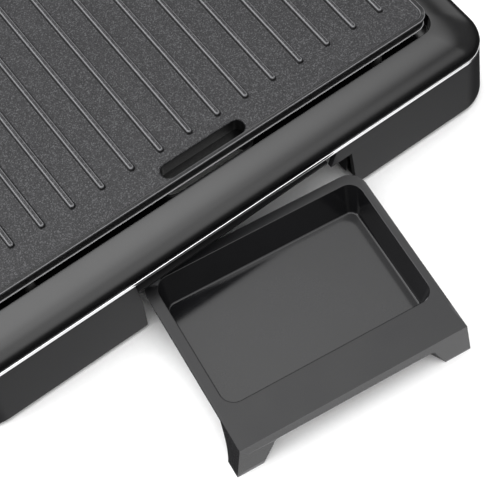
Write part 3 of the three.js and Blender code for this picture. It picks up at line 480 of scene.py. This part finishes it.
def moulded_rubber():
    """Black moulded rubber of the feet: dull, a little dusty on its edges."""
    material, tree, shader, place = start_material("moulded_rubber", {"IOR": 1.5})
    dust = add(tree, "TexNoise", {"Scale": per_mm(3.0), "Detail": 4.0, "Roughness": 0.6}, place, "Fac")
    worn = worn_edges(tree, toned(tree, dust, (0.4, 0.75), 0x151515, 0x262626), 0x3C3B39)
    finish_surface(tree, shader, worn, dust, (0.7, 0.88), dust, 0.06, 0.6)
    return material


def black_steatite():
    """Black-fired steatite of the plate's rests: a dull dark ceramic, finely pitted."""
    material, tree, shader, place = start_material("black_steatite", {"IOR": 1.55})
    pit = add(tree, "TexNoise", {"Scale": per_mm(0.8), "Detail": 4.0, "Roughness": 0.65}, place, "Fac")
    tone = toned(tree, pit, NOISE_SPAN, 0x121211, 0x1C1B1A)
    finish_surface(tree, shader, tone, pit, (0.6, 0.8), pit, 0.05, 0.7)
    return material


def pale_paper():
    """The studio's paper floor: plain, matt and nearly white."""
    material, tree, shader, place = start_material("pale_paper", {"Roughness": 0.9, "IOR": 1.3})
    fibre = add(tree, "TexNoise", {"Scale": per_mm(4.0), "Detail": 3.0}, place, "Fac")
    tree.links.new(toned(tree, fibre, NOISE_SPAN, 0xFBFBFB, 0xFEFEFE), shader.inputs["Base Color"])
    return material


non_stick = sprayed_non_stick()
gloss = gloss_abs()
grained = grained_abs()
phenolic = tray_phenolic()
chrome = chrome_plate()
polypropylene = matt_polypropylene()
sheet_metal = aluminised_sheet()
rod_sheath = sheathed_rod()
zinc = zinc_plated_steel()
rubber = moulded_rubber()
steatite = black_steatite()


# ------------------------------------------------------------------ shapes
def region(x0, x1, y0, y1, grow=0.0):
    return (x0 - grow, x1 + grow, y0 - grow, y1 + grow)


def around(out):
    """The plate's outline moved outwards."""
    return (-PLATE_X - out, PLATE_X + out, -PLATE_Y - out, PLATE_Y + out)


def rounded(area, rear_radius, z, front_radius=None):
    """A rounded rectangle's ring of points at a height, counter-clockwise."""
    x0, x1, y0, y1 = area
    front = rear_radius if front_radius is None else front_radius
    corners = (
        (x1, y1, -1, -1, rear_radius),
        (x0, y1, 1, -1, rear_radius),
        (x0, y0, 1, 1, front),
        (x1, y0, -1, 1, front),
    )
    ring = []
    for quarter, (x, y, in_x, in_y, radius) in enumerate(corners):
        for step in range(CORNER_STEPS + 1):
            angle = (quarter + step / CORNER_STEPS) * math.pi / 2
            point_x = x + in_x * radius + radius * math.cos(angle)
            point_y = y + in_y * radius + radius * math.sin(angle)
            ring.append(Vector((point_x, point_y, z)))
    return ring


def obround(length, width, centre, z, steps=CORNER_STEPS, along="x"):
    """A round-ended slot's ring of points; along is the direction of its long way."""
    radius = width / 2
    reach = length / 2 - radius
    ring = []
    for end in (1, -1):
        for step in range(steps + 1):
            angle = -math.pi / 2 + step / steps * math.pi + (0 if end == 1 else math.pi)
            a = end * reach + radius * math.cos(angle)
            b = radius * math.sin(angle)
            x, y = (a, b) if along == "x" else (-b, a)
            ring.append(Vector((centre[0] + x, centre[1] + y, z)))
    return ring


def circle(radius, x, y, z):
    angles = [2 * math.pi * step / CIRCLE_STEPS for step in range(CIRCLE_STEPS)]
    return [Vector((x + radius * math.cos(a), y + radius * math.sin(a), z)) for a in angles]


def lofted(rings, closed=False):
    """A bmesh of quads between rings. closed joins the last ring to the first; otherwise both ends are
    filled."""
    mesh = bmesh.new()
    rows = [[mesh.verts.new(point) for point in ring] for ring in rings]
    count = len(rings[0])
    pairs = list(zip(rows, rows[1:])) + ([(rows[-1], rows[0])] if closed else [])
    for low, high in pairs:
        for i in range(count):
            j = (i + 1) % count
            mesh.faces.new((low[i], low[j], high[j], high[i]))
    if not closed:
        mesh.faces.new(list(reversed(rows[0])))
        mesh.faces.new(rows[-1])
    bmesh.ops.recalc_face_normals(mesh, faces=mesh.faces)
    return mesh


def joined(meshes):
    """One bmesh of several closed ones that don't touch."""
    whole = bmesh.new()
    for mesh in meshes:
        data = bpy.data.meshes.new("part")
        mesh.to_mesh(data)
        mesh.free()
        whole.from_mesh(data)
        bpy.data.meshes.remove(data)
    return whole


def as_object(mesh, name):
    """A linked object from a bmesh in millimetres round the body's centre."""
    data = bpy.data.meshes.new(name)
    mesh.to_mesh(data)
    mesh.free()
    data.transform(Matrix.Scale(MM, 4) @ Matrix.Translation((BODY_CENTRE.x, BODY_CENTRE.y, 0)))
    piece = bpy.data.objects.new(name, data)
    scene.collection.objects.link(piece)
    return piece


def combined(piece, tool, operation):
    """Cuts or joins a piece with a bmesh or another object, exactly, and uses the tool up."""
    if isinstance(tool, bmesh.types.BMesh):
        tool = as_object(tool, "tool")
    step = piece.modifiers.new("combine", "BOOLEAN")
    step.operation = operation
    step.solver = "EXACT"
    step.object = tool
    graph = bpy.context.evaluated_depsgraph_get()
    data = bpy.data.meshes.new_from_object(piece.evaluated_get(graph))
    piece.modifiers.clear()
    old = piece.data
    piece.data = data
    bpy.data.meshes.remove(old)
    bpy.data.objects.remove(tool)


def block(x0, x1, y0, y1, z0, z1):
    low = [Vector((x, y, z0)) for x, y in ((x0, y0), (x1, y0), (x1, y1), (x0, y1))]
    return lofted([low, [Vector((p.x, p.y, z1)) for p in low]])


def along_y(profile, y0, y1):
    """A profile of X and Z points, drawn along Y."""
    return lofted([[Vector((x, y, z)) for x, z in profile] for y in (y0, y1)])


def smoothed(piece, edge, angle=38.0):
    """Rounds a piece's edges that are sharper than an angle, by an edge's width in millimetres, and shades the
    rest smoothly."""
    mesh = bmesh.new()
    mesh.from_mesh(piece.data)
    bmesh.ops.remove_doubles(mesh, verts=mesh.verts, dist=0.004 * MM)
    bmesh.ops.dissolve_degenerate(mesh, edges=mesh.edges, dist=0.002 * MM)
    for face in mesh.faces:
        face.smooth = True
    mesh.to_mesh(piece.data)
    mesh.free()
    bevel = piece.modifiers.new("rounded_edges", "BEVEL")
    bevel.width = edge * MM
    bevel.segments = 3
    bevel.limit_method = "ANGLE"
    bevel.angle_limit = math.radians(angle)
    weight = piece.modifiers.new("face_normals", "WEIGHTED_NORMAL")
    weight.keep_sharp = True
    weight.weight = 50
    return piece


def dressed(piece, material, body, replaced):
    """Gives a piece its material, the body that it rides on, and the CAD nodes that it stands for."""
    piece.data.materials.clear()
    piece.data.materials.append(material)
    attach(piece, body)
    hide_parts(*replaced)


# ------------------------------------------------------------------ the base
def inlet_notch():
    """The notch in casing, trim and frame for the plate's inlet."""
    start = guard_low.x + GUARD_TAB - NOTCH_PLAY
    half = (guard_high.y - guard_low.y) / 2 + NOTCH_PLAY
    return block(start, skirt_high.x + PAST, -half, half, guard_low.z - NOTCH_PLAY, PLATE_TOP)


def well_radius(out):
    share = min(max((out - WELL_GAP) / (BODY_OVERHANG - WELL_GAP), 0), 1)
    return WELL_CORNER + (BODY_CORNER - WELL_CORNER) * share


def post_places():
    x, y = PLATE_X + POST_OUT, PLATE_Y + POST_OUT
    inner = y - POST_SETBACK
    return [(-x, -inner), (x, -inner), (-x, inner), (x, inner), (-x, 0), (0, y)]


def gloss_frame():
    """The frame: a convex shoulder up from the trim to the well, the well's wall, its ledge and the shell
    below."""
    span = BODY_OVERHANG - WELL_GAP - WELL_EDGE_ROUND
    profile = []
    for step in range(SHOULDER_STEPS + 1):
        angle = step / SHOULDER_STEPS * math.pi / 2
        out = WELL_GAP + WELL_EDGE_ROUND + span * math.cos(angle)
        profile.append((out, FRAME_BOTTOM + SHOULDER_RISE * math.sin(angle)))
    for step in range(1, WELL_EDGE_STEPS + 1):
        angle = step / WELL_EDGE_STEPS * math.pi / 2
        out = WELL_GAP + WELL_EDGE_ROUND * (1 - math.sin(angle))
        profile.append((out, frame_high.z - WELL_EDGE_ROUND * (1 - math.cos(angle))))
    wall_out = WELL_GAP + WELL_WALL
    profile += [
        (WELL_GAP, LEDGE_TOP),
        (WELL_GAP - LEDGE_WIDTH, LEDGE_TOP),
        (WELL_GAP - LEDGE_WIDTH, LEDGE_TOP - LEDGE_THICKNESS),
        (wall_out, LEDGE_TOP - LEDGE_THICKNESS),
    ]
    low_angle = math.asin(FRAME_WALL / SHOULDER_RISE)
    for step in range(SHELL_STEPS + 1):
        angle = SHELL_TOP_ANGLE + (low_angle - SHELL_TOP_ANGLE) * step / SHELL_STEPS
        out = WELL_GAP + (BODY_OVERHANG - WELL_GAP) * math.cos(angle) - FRAME_WALL
        profile.append((out, FRAME_BOTTOM + SHOULDER_RISE * math.sin(angle) - FRAME_WALL))
    rings = [rounded(around(out), well_radius(out), z) for out, z in profile]
    piece = as_object(lofted(rings, closed=True), "gloss_frame")
    post_top = FRAME_BOTTOM + POST_INTO_FRAME
    posts = [
        lofted([circle(POST_RADIUS, x, y, cover_high.z + GAP), circle(POST_RADIUS, x, y, post_top)])
        for x, y in post_places()
    ]
    combined(piece, joined(posts), "UNION")
    combined(piece, inlet_notch(), "DIFFERENCE")
    chute_room = 2 * (COLLAR_WALL + CHUTE_CLEARANCE)
    slot_at = (0, -PLATE_Y + SLOT_INSET)
    rings = [
        obround(SLOT_LENGTH + chute_room, SLOT_WIDTH + chute_room, slot_at, z)
        for z in (LEDGE_TOP - LEDGE_THICKNESS - PAST, LEDGE_TOP + PAST)
    ]
    combined(piece, lofted(rings), "DIFFERENCE")
    dressed(smoothed(piece, 0.3), gloss, "base", ["top_frame"])


def chrome_trim():
    """The bright strip between casing and frame, with a softly crowned face."""
    profile = []
    height = trim_high.z - trim_low.z
    for step in range(TRIM_STEPS + 1):
        angle = -math.pi / 2 + step / TRIM_STEPS * math.pi
        crown = math.cos(angle) ** TRIM_FULLNESS if 0 < step < TRIM_STEPS else 0
        out = BODY_OVERHANG + TRIM_BULGE * crown
        profile.append((out, trim_low.z + height / 2 * (1 + math.sin(angle))))
    profile += [(BODY_OVERHANG - TRIM_DEPTH, trim_high.z), (BODY_OVERHANG - TRIM_DEPTH, trim_low.z)]
    rings = [rounded(around(out), BODY_CORNER + out - BODY_OVERHANG, z) for out, z in profile]
    piece = as_object(lofted(rings, closed=True), "chrome_trim")
    combined(piece, inlet_notch(), "DIFFERENCE")
    dressed(smoothed(piece, 0.12), chrome, "base", ["trim_band"])


def casing_out(z):
    return BODY_OVERHANG + TRIM_BULGE + SKIRT_FLARE * (SKIRT_TOP - z) / SKIRT_HEIGHT


def tray_doorway():
    """The tray's doorway, with the raised window in its middle."""
    left = bay_low.x + BAY_FLANGE + BAY_WALL - BODY_CENTRE.x
    right = bay_high.x - BAY_FLANGE - BAY_WALL - BODY_CENTRE.x
    lintel = tray_top + BAY_LINTEL_RISE
    window_right = right - WINDOW_RIGHT_STEP
    profile = [
        (left - DOORWAY_FLARE, -PAST),
        (right + DOORWAY_FLARE, -PAST),
        (right - BAY_RIGHT_LEAN, lintel),
        (window_right - WINDOW_SLANT, lintel),
        (window_right, SKIRT_TOP + PAST),
        (left - WINDOW_LEFT_REACH, SKIRT_TOP + PAST),
        (left, lintel - WINDOW_BEND_DROP),
    ]
    front = -PLATE_Y - casing_out(0)
    back = -PLATE_Y - BODY_OVERHANG + SKIRT_WALL + SKIRT_STEP + SKIRT_FLANGE + PAST
    return along_y(profile, front - PAST, back)


def casing():
    """The flared casing: a rounded lower edge, an inward flange on top and a rebate for the cover."""
    edge = SKIRT_FOOT_ROUND
    bottom = [
        (casing_out(SKIRT_BOTTOM) - edge * (1 - math.sin(a)), SKIRT_BOTTOM + edge * (1 - math.cos(a)))
        for a in (step / FOOT_ROUND_STEPS * math.pi / 2 for step in range(FOOT_ROUND_STEPS + 1))
    ]
    inner = SKIRT_WALL + SKIRT_STEP
    flange_out = BODY_OVERHANG + TRIM_BULGE - inner - SKIRT_FLANGE
    under = SKIRT_TOP - SKIRT_FLANGE_THICKNESS
    step_z = cover_high.z + GAP
    profile = bottom + [
        (casing_out(SKIRT_TOP - SKIRT_TOP_CHAMFER), SKIRT_TOP - SKIRT_TOP_CHAMFER),
        (casing_out(SKIRT_TOP) - SKIRT_TOP_CHAMFER, SKIRT_TOP),
        (flange_out, SKIRT_TOP),
        (flange_out, under),
        (casing_out(under) - inner, under),
        (casing_out(step_z) - inner, step_z),
        (casing_out(step_z) - SKIRT_WALL, step_z),
        (casing_out(SKIRT_BOTTOM) - SKIRT_WALL, SKIRT_BOTTOM),
    ]
    rings = [rounded(around(out), BODY_CORNER + out - BODY_OVERHANG, z) for out, z in profile]
    piece = as_object(lofted(rings, closed=True), "casing")
    combined(piece, tray_doorway(), "DIFFERENCE")
    combined(piece, inlet_notch(), "DIFFERENCE")
    dressed(smoothed(piece, 0.35), grained, "base", ["skirt_housing"])


def bay_liner():
    """The liner over the tray: three walls on a screwed flange, and a roof whose lip shows in the window."""
    front, back = bay_low.y - BODY_CENTRE.y, bay_high.y - BAY_FLANGE - BODY_CENTRE.y
    left, right = bay_low.x + BAY_FLANGE - BODY_CENTRE.x, bay_high.x - BAY_FLANGE - BODY_CENTRE.x
    roof = bay_high.z - BAY_WALL
    outside = (left, right, front, back)
    rear_corner, front_corner = BAY_CORNERS
    hull = [rounded(outside, rear_corner, z, front_corner) for z in (bay_low.z, bay_high.z)]
    piece = as_object(lofted(hull), "bay_liner")
    flange = (left - BAY_FLANGE, right + BAY_FLANGE, front + BAY_FLANGE, back + BAY_FLANGE)
    base = lofted([rounded(flange, BAY_FLANGE_CORNER, z) for z in (bay_low.z, bay_low.z + BAY_WALL)])
    combined(piece, base, "UNION")
    lip_left = left + BAY_WALL - WINDOW_LEFT_REACH + LIP_PLAY
    lip_right = right - BAY_WALL - WINDOW_RIGHT_STEP - WINDOW_SLANT - LIP_PLAY
    edge = []
    for step in range(LIP_STEPS + 1):
        share = step / LIP_STEPS
        bow = LIP_BOW * math.sin(math.pi / 2 * share) ** 2
        edge.append((lip_left + (lip_right - lip_left) * share, front - LIP_REACH + bow))
    outline = edge + [(lip_right, front + PAST), (lip_left, front + PAST)]
    lip = lofted([[Vector((x, y, z)) for x, y in outline] for z in (roof, bay_high.z)])
    combined(piece, lip, "UNION")
    room = (left + BAY_WALL, right - BAY_WALL, front - PAST, back - BAY_WALL)
    rear_corner, front_corner = BAY_ROOM_CORNERS
    combined(piece, lofted([rounded(room, rear_corner, z, front_corner) for z in (0, roof)]), "DIFFERENCE")
    chute_low, chute_high = box_mm("drain_chute")
    long, wide = chute_high.x - chute_low.x, chute_high.y - chute_low.y
    middle = (0, (chute_low.y + chute_high.y) / 2 - BODY_CENTRE.y)
    hole = [obround(long + GAP, wide + GAP, middle, z) for z in (roof - PAST, bay_high.z + PAST)]
    combined(piece, lofted(hole), "DIFFERENCE")
    screws = []
    for index in range(1, 5):
        low, high = box_mm(f"bay_screw_{index}")
        x, y = (low.x + high.x) / 2 - BODY_CENTRE.x, (low.y + high.y) / 2 - BODY_CENTRE.y
        through = (bay_low.z - PAST, bay_low.z + BAY_WALL + PAST)
        screws.append(lofted([circle(SCREW_HOLE, x, y, z) for z in through]))
    combined(piece, joined(screws), "DIFFERENCE")
    dressed(smoothed(piece, 0.3), polypropylene, "base", ["tray_bay"])


# ------------------------------------------------------------------ the plate
def slot_ring(grow, z):
    return obround(SLOT_LENGTH + 2 * grow, SLOT_WIDTH + 2 * grow, (0, -PLATE_Y + SLOT_INSET), z)


RIB_SECTION = (  # half width and share of the height, from the foot's fillet to the crest
    (2.7, 0.0), (2.42, 0.04), (2.14, 0.14), (1.86, 0.34), (1.6, 0.56), (1.4, 0.74),
    (1.2, 0.87), (0.96, 0.95), (0.7, 0.99), (0.36, 0.999), (0.05, 1.0),
)


def rib(index):
    pitch = 2 * (PLATE_X - RIB_SIDE_MARGIN) / (RIB_COUNT - 1)
    x = (index - (RIB_COUNT - 1) / 2) * pitch
    length = 2 * (PLATE_Y - RIB_END_MARGIN)
    foot = RIB_SECTION[0][0]
    rings = [obround(length, 2 * foot, (x, 0), FIELD - RIB_ROOT, RIB_END_STEPS, "y")]
    for half, share in RIB_SECTION:
        z = FIELD - RIB_SEAT + (plate_high.z - FIELD) * share
        rings.append(obround(length - 2 * (foot - half), 2 * half, (x, 0), z, RIB_END_STEPS, "y"))
    return lofted(rings)


def griddle_plate():
    """The cast plate: rolled rim, flat field with ribs, and the drain slot with its collar below."""
    profile = [(-SIDE_INSET - depth, PLATE_BOTTOM + rise) for depth, rise in PLATE_BEAD]
    profile.append((-SIDE_INSET, PLATE_TOP - RIM_SIDE_TOP))
    for step in range(1, RIM_OUTER_STEPS + 1):
        angle = step / RIM_OUTER_STEPS * math.pi / 2
        out = -SIDE_INSET - RIM_OUTER_ROUND * (1 - math.cos(angle))
        profile.append((out, PLATE_TOP - RIM_OUTER_ROUND * (1 - math.sin(angle))))
    crest, crest_round = RIM_CREST[0] - RIM_WIDTH, RIM_CREST[1]
    foot, foot_round = -RIM_FOOT[0] - RIM_WIDTH, RIM_FOOT[1]
    slopes = [step / RIM_STEPS * RIM_SLOPE for step in range(RIM_STEPS + 1)]
    for angle in slopes:
        drop = crest_round * (1 - math.cos(angle))
        profile.append((crest - crest_round * math.sin(angle), PLATE_TOP - drop))
    for angle in reversed(slopes):
        rise = foot_round * (1 - math.cos(angle))
        profile.append((foot + foot_round * math.sin(angle), FIELD + rise))
    top = [rounded(around(out), PLATE_CORNER + out, z) for out, z in profile]
    under = [
        rounded(around(-PLATE_WALL), PLATE_CORNER - PLATE_WALL, UNDERSIDE),
        rounded(around(-PLATE_WALL), PLATE_CORNER - PLATE_WALL, PLATE_BOTTOM),
    ]
    piece = as_object(lofted(under + top), "griddle_plate")
    collar = lofted([slot_ring(COLLAR_WALL, UNDERSIDE - COLLAR_DROP), slot_ring(COLLAR_WALL, FIELD - PAST)])
    combined(piece, collar, "UNION")
    boss = block(*BOSS_LENGTH, -BOSS_WIDTH / 2, BOSS_WIDTH / 2, BOSS_BOTTOM, FIELD - PAST)
    combined(piece, boss, "UNION")
    lip = []
    for step in range(SLOT_LIP_STEPS + 1):
        angle = step / SLOT_LIP_STEPS * math.pi / 2
        lip.append(slot_ring(SLOT_LIP * (1 - math.cos(angle)), FIELD - SLOT_LIP + SLOT_LIP * math.sin(angle)))
    tool = [slot_ring(0, UNDERSIDE - COLLAR_DROP - PAST)] + lip + [slot_ring(SLOT_LIP, PLATE_TOP + PAST)]
    combined(piece, lofted(tool), "DIFFERENCE")
    start = guard_low.x - NOTCH_PLAY
    half = (guard_high.y - guard_low.y) / 2 + NOTCH_PLAY
    guard_room = block(start, PLATE_X + PAST, -half, half, PLATE_BOTTOM - PAST, UNDERSIDE - GAP)
    combined(piece, guard_room, "DIFFERENCE")
    bore = [
        [Vector((x, point.x, PIN_AXIS + point.y)) for point in circle(PROBE_RADIUS, 0, 0, 0)]
        for x in (BOSS_LENGTH[0] + BORE_END, BOSS_LENGTH[1] + BORE_PAST)
    ]
    combined(piece, lofted(bore), "DIFFERENCE")
    combined(piece, joined([rib(index) for index in range(RIB_COUNT)]), "UNION")
    dressed(smoothed(piece, 0.35, 48.0), non_stick, "plate", ["grill_plate"])


# ------------------------------------------------------------------ the drip tray, round its own middle
def tray_front_rings(inset, low, high):
    """Level sections of the tray's front block, whose front and sides lean and whose rear curves back."""
    rings = []
    bend = (tray_top - APRON_DROP) * LEG_BEND_AT
    for step in range(LEG_STEPS + 1):
        z = low + (high - low) * (step / LEG_STEPS)
        t = min(max(z / tray_top, 0), 1)
        # the rear's curve, as a quadratic through its bend
        a = bend / tray_top
        s = (-a + math.sqrt(a * a + (1 - 2 * a) * t)) / (1 - 2 * a)
        at_bend = 2 * s * (1 - s) * (LEG_DEPTH_BOTTOM + LEG_BEND_DEPTH)
        depth = (1 - s) ** 2 * LEG_DEPTH_BOTTOM + at_bend + s * s * LEG_DEPTH_TOP
        lean = TRAY_FLARE * (tray_top - z)
        half = TRAY_WIDTH / 2 + lean - inset
        front = -TRAY_DEPTH / 2 - lean + inset
        rear = -TRAY_DEPTH / 2 + depth - inset
        corners = ((-half, front), (half, front), (half, rear), (-half, rear))
        rings.append([Vector((x, y, z)) for x, y in corners])
    return rings


def leg_gap(top, corner, grow):
    """The gap between the legs up to a height, narrower towards the back; grow widens it on each side."""
    lean = TRAY_FLARE * tray_top
    front = -TRAY_DEPTH / 2 - lean
    rings = []
    for depth in (-PAST, LEG_DEPTH_TOP + lean):
        low_half = TRAY_WIDTH / 2 + lean - LEG_WIDTH_BOTTOM + grow - LEG_SLANT * depth
        high_half = TRAY_WIDTH / 2 - LEG_WIDTH_TOP + grow - LEG_SLANT * depth
        y = front + depth
        ring = [Vector((-low_half, y, -PAST)), Vector((low_half, y, -PAST))]
        for side in (1, -1):
            arc = [step / LEG_ARC_STEPS * math.pi / 2 for step in range(LEG_ARC_STEPS + 1)]
            for angle in arc if side == 1 else reversed(arc):
                x = high_half - corner * (1 - math.cos(angle))
                ring.append(Vector((side * x, y, top - corner * (1 - math.sin(angle)))))
        rings.append(ring)
    return lofted(rings)


def drip_tray():
    """The drip tray: a deep basin in a flat rim, whose front drops to an apron and two hollow legs."""
    x, y = TRAY_WIDTH / 2, TRAY_DEPTH / 2
    margin, draft = BASIN_MARGIN, BASIN_DRAFT
    opening = (-x + margin["left"], x - margin["right"], -y + margin["front"], y - margin["rear"])
    floor = (
        opening[0] + draft["side"],
        opening[1] - draft["side"],
        opening[2] + draft["front"],
        opening[3] - draft["rear"],
    )
    rim_low = tray_top - TRAY_RIM
    under = BASIN_FLOOR - TRAY_WALL
    rings = [
        rounded(region(*floor, grow=grow), BASIN_FLOOR_CORNER + grow, under + rise)
        for grow, rise in BASIN_UNDERSIDE
    ]
    rings += [
        rounded(region(*opening, grow=TRAY_WALL), BASIN_CORNER + TRAY_WALL, rim_low),
        rounded((-x, x, -y, y), TRAY_REAR_CORNER, rim_low, TRAY_FRONT_CORNER),
        rounded((-x, x, -y, y), TRAY_REAR_CORNER, tray_top, TRAY_FRONT_CORNER),
    ]
    for step in range(BASIN_EDGE_STEPS + 1):
        angle = step / BASIN_EDGE_STEPS * math.pi / 2
        out = BASIN_LIP * (1 - math.sin(angle))
        z = tray_top - BASIN_LIP * (1 - math.cos(angle))
        rings.append(rounded(region(*opening, grow=out), BASIN_CORNER + out, z))
    for step in range(BASIN_EDGE_STEPS + 1):
        angle = step / BASIN_EDGE_STEPS * math.pi / 2
        out = -BASIN_FLOOR_ROUND * (1 - math.cos(angle))
        z = BASIN_FLOOR + BASIN_FLOOR_ROUND * (1 - math.sin(angle))
        rings.append(rounded(region(*floor, grow=out), BASIN_FLOOR_CORNER + out, z))
    piece = as_object(lofted(rings), "drip_tray_moulding")
    front = as_object(lofted(tray_front_rings(0.0, 0.0, tray_top)), "front")
    combined(front, leg_gap(tray_top - APRON_DROP, APRON_ROUND, 0.0), "DIFFERENCE")
    walls = as_object(leg_gap(rim_low, LEG_ROOM_CORNER, LEG_SHELL), "walls")
    combined(walls, leg_gap(rim_low + PAST, LEG_ROOM_CORNER, 0.0), "DIFFERENCE")
    hollow = as_object(lofted(tray_front_rings(LEG_SHELL, -PAST, rim_low)), "hollow")
    combined(hollow, walls, "DIFFERENCE")
    combined(front, hollow, "DIFFERENCE")
    combined(piece, front, "UNION")
    joint = next(joint for joint in frame["joints"] if joint["name"] == "tray_draw")
    pole, turn = Vector(joint["pos_m"]), math.radians(joint["range_deg"][1])
    seat_x = (rails_low.x + rails_high.x) / 2
    seat_y = bay_high.y - BAY_FLANGE - BAY_WALL - BAY_BACK_GAP - TRAY_DEPTH / 2
    to_seat = Matrix.Translation((seat_x * MM - BODY_CENTRE.x * MM, seat_y * MM - BODY_CENTRE.y * MM, 0))
    swing = Matrix.Translation(pole) @ Matrix.Rotation(-turn, 4, "Z") @ Matrix.Translation(-pole)
    piece.data.transform(swing @ to_seat)
    dressed(smoothed(piece, 0.55, 40.0), phenolic, "tray", ["drip_tray"])


# ------------------------------------------------------------------ CAD pieces that keep their shape
CAD_FINISHES = {
    "bottom_cover": (polypropylene, 0.25),
    "tray_rail_left": (polypropylene, 0.5),
    "tray_rail_right": (polypropylene, 0.5),
    "drain_chute": (polypropylene, 0.2),
    "reflector_pan": (sheet_metal, 0.0),
    "terminal_guard": (polypropylene, 0.4),
    "heating_element": (rod_sheath, 0.0),
    "contact_pin_left": (zinc, 0.3),
    "contact_pin_right": (zinc, 0.3),
    "earth_pin": (zinc, 0.3),
    "probe_sleeve": (zinc, 0.2),
    "element_clip": (zinc, 0.15),
    "cover_screw": (zinc, 0.0),
    "bay_screw": (zinc, 0.0),
    "guard_screw": (zinc, 0.0),
    "foot": (rubber, 0.0),
    "plate_rest": (steatite, 0.0),
}


CAD_SHARP_ANGLE = math.radians(38)


def finish_cad_nodes():
    """Gives each CAD piece that stays its finish, rounded edges and smooth shading."""
    for name, node in frame["nodes"].items():
        kind = name if name in CAD_FINISHES else name.rsplit("_", 1)[0]
        if kind not in CAD_FINISHES:
            continue
        material, edge = CAD_FINISHES[kind]
        node.data.materials.clear()
        node.data.materials.append(material)
        for polygon in node.data.polygons:
            polygon.use_smooth = True
        weld = node.modifiers.new("weld", "WELD")
        weld.merge_threshold = 0.001 * MM
        if edge:
            bevel = node.modifiers.new("rounded_edges", "BEVEL")
            bevel.width = edge * MM
            bevel.segments = 2
            bevel.limit_method = "ANGLE"
            bevel.angle_limit = CAD_SHARP_ANGLE
        split = node.modifiers.new("sharp_edges", "EDGE_SPLIT")
        split.split_angle = CAD_SHARP_ANGLE


gloss_frame()
chrome_trim()
casing()
bay_liner()
griddle_plate()
drip_tray()
finish_cad_nodes()


# ------------------------------------------------------------------ the studio
WALL_STRENGTH = (0.06, 0.35)  # at the floor and higher up
SOFT_LIGHTS = (  # direction, cosines of the angles at which it ends and is full, strength
    ((-0.05, 0.13, 0.98), (0.72, 0.96), 3.1),  # the broad overhead light
    ((-0.78, 0.38, 0.5), (0.9, 0.97), 4.5),  # on the left
    ((0.8, 0.55, 0.25), (0.92, 0.97), 0.8),  # on the right
    ((0.12, -0.72, 0.68), (0.87, 0.97), 1.3),  # in front, weak
    ((0.24, -0.4, -0.88), (0.93, 0.975), 1.05),  # bounced off the table in front
)


FLOOR_HALF = 4.0  # metres
FLOOR_BELOW = 0.0002  # metres under the feet, so that no faces coincide


def make_floor():
    mesh = bmesh.new()
    bmesh.ops.create_grid(mesh, x_segments=4, y_segments=4, size=FLOOR_HALF)
    data = bpy.data.meshes.new("floor")
    mesh.to_mesh(data)
    mesh.free()
    floor = bpy.data.objects.new("floor", data)
    floor.location.z = -FLOOR_BELOW
    scene.collection.objects.link(floor)
    floor.visible_glossy = False
    data.materials.append(pale_paper())


def make_world():
    """A studio with dim walls and soft lights: overhead, on either side, in front, and off the table."""
    world = bpy.data.worlds.new("studio")
    world.use_nodes = True
    scene.world = world
    tree = world.node_tree
    tree.nodes.clear()
    direction = add(tree, "TexCoord", out="Generated")
    height = add(tree, "SeparateXYZ", links={"Vector": direction}, out="Z")
    dim, bright = WALL_STRENGTH
    walls = {"From Min": -0.1, "From Max": 0.5, "To Min": dim, "To Max": bright}
    total = add(tree, "MapRange", walls, {"Value": height}, "Result")
    for towards, (end, full), strength in SOFT_LIGHTS:
        facing = {"operation": "DOT_PRODUCT", 1: Vector(towards).normalized()}
        cosine = add(tree, "VectorMath", facing, {0: direction}, "Value")
        lobe = {"From Min": end, "From Max": full, "To Max": strength}
        share = add(tree, "MapRange", lobe, {"Value": cosine}, "Result")
        total = add(tree, "Math", {"operation": "ADD"}, {0: total, 1: share}, "Value")
    background = add(tree, "Background", {"Color": (1, 1, 1, 1)}, {"Strength": total}, "Background")
    add(tree, "OutputWorld", links={"Surface": background})


make_floor()
make_world()
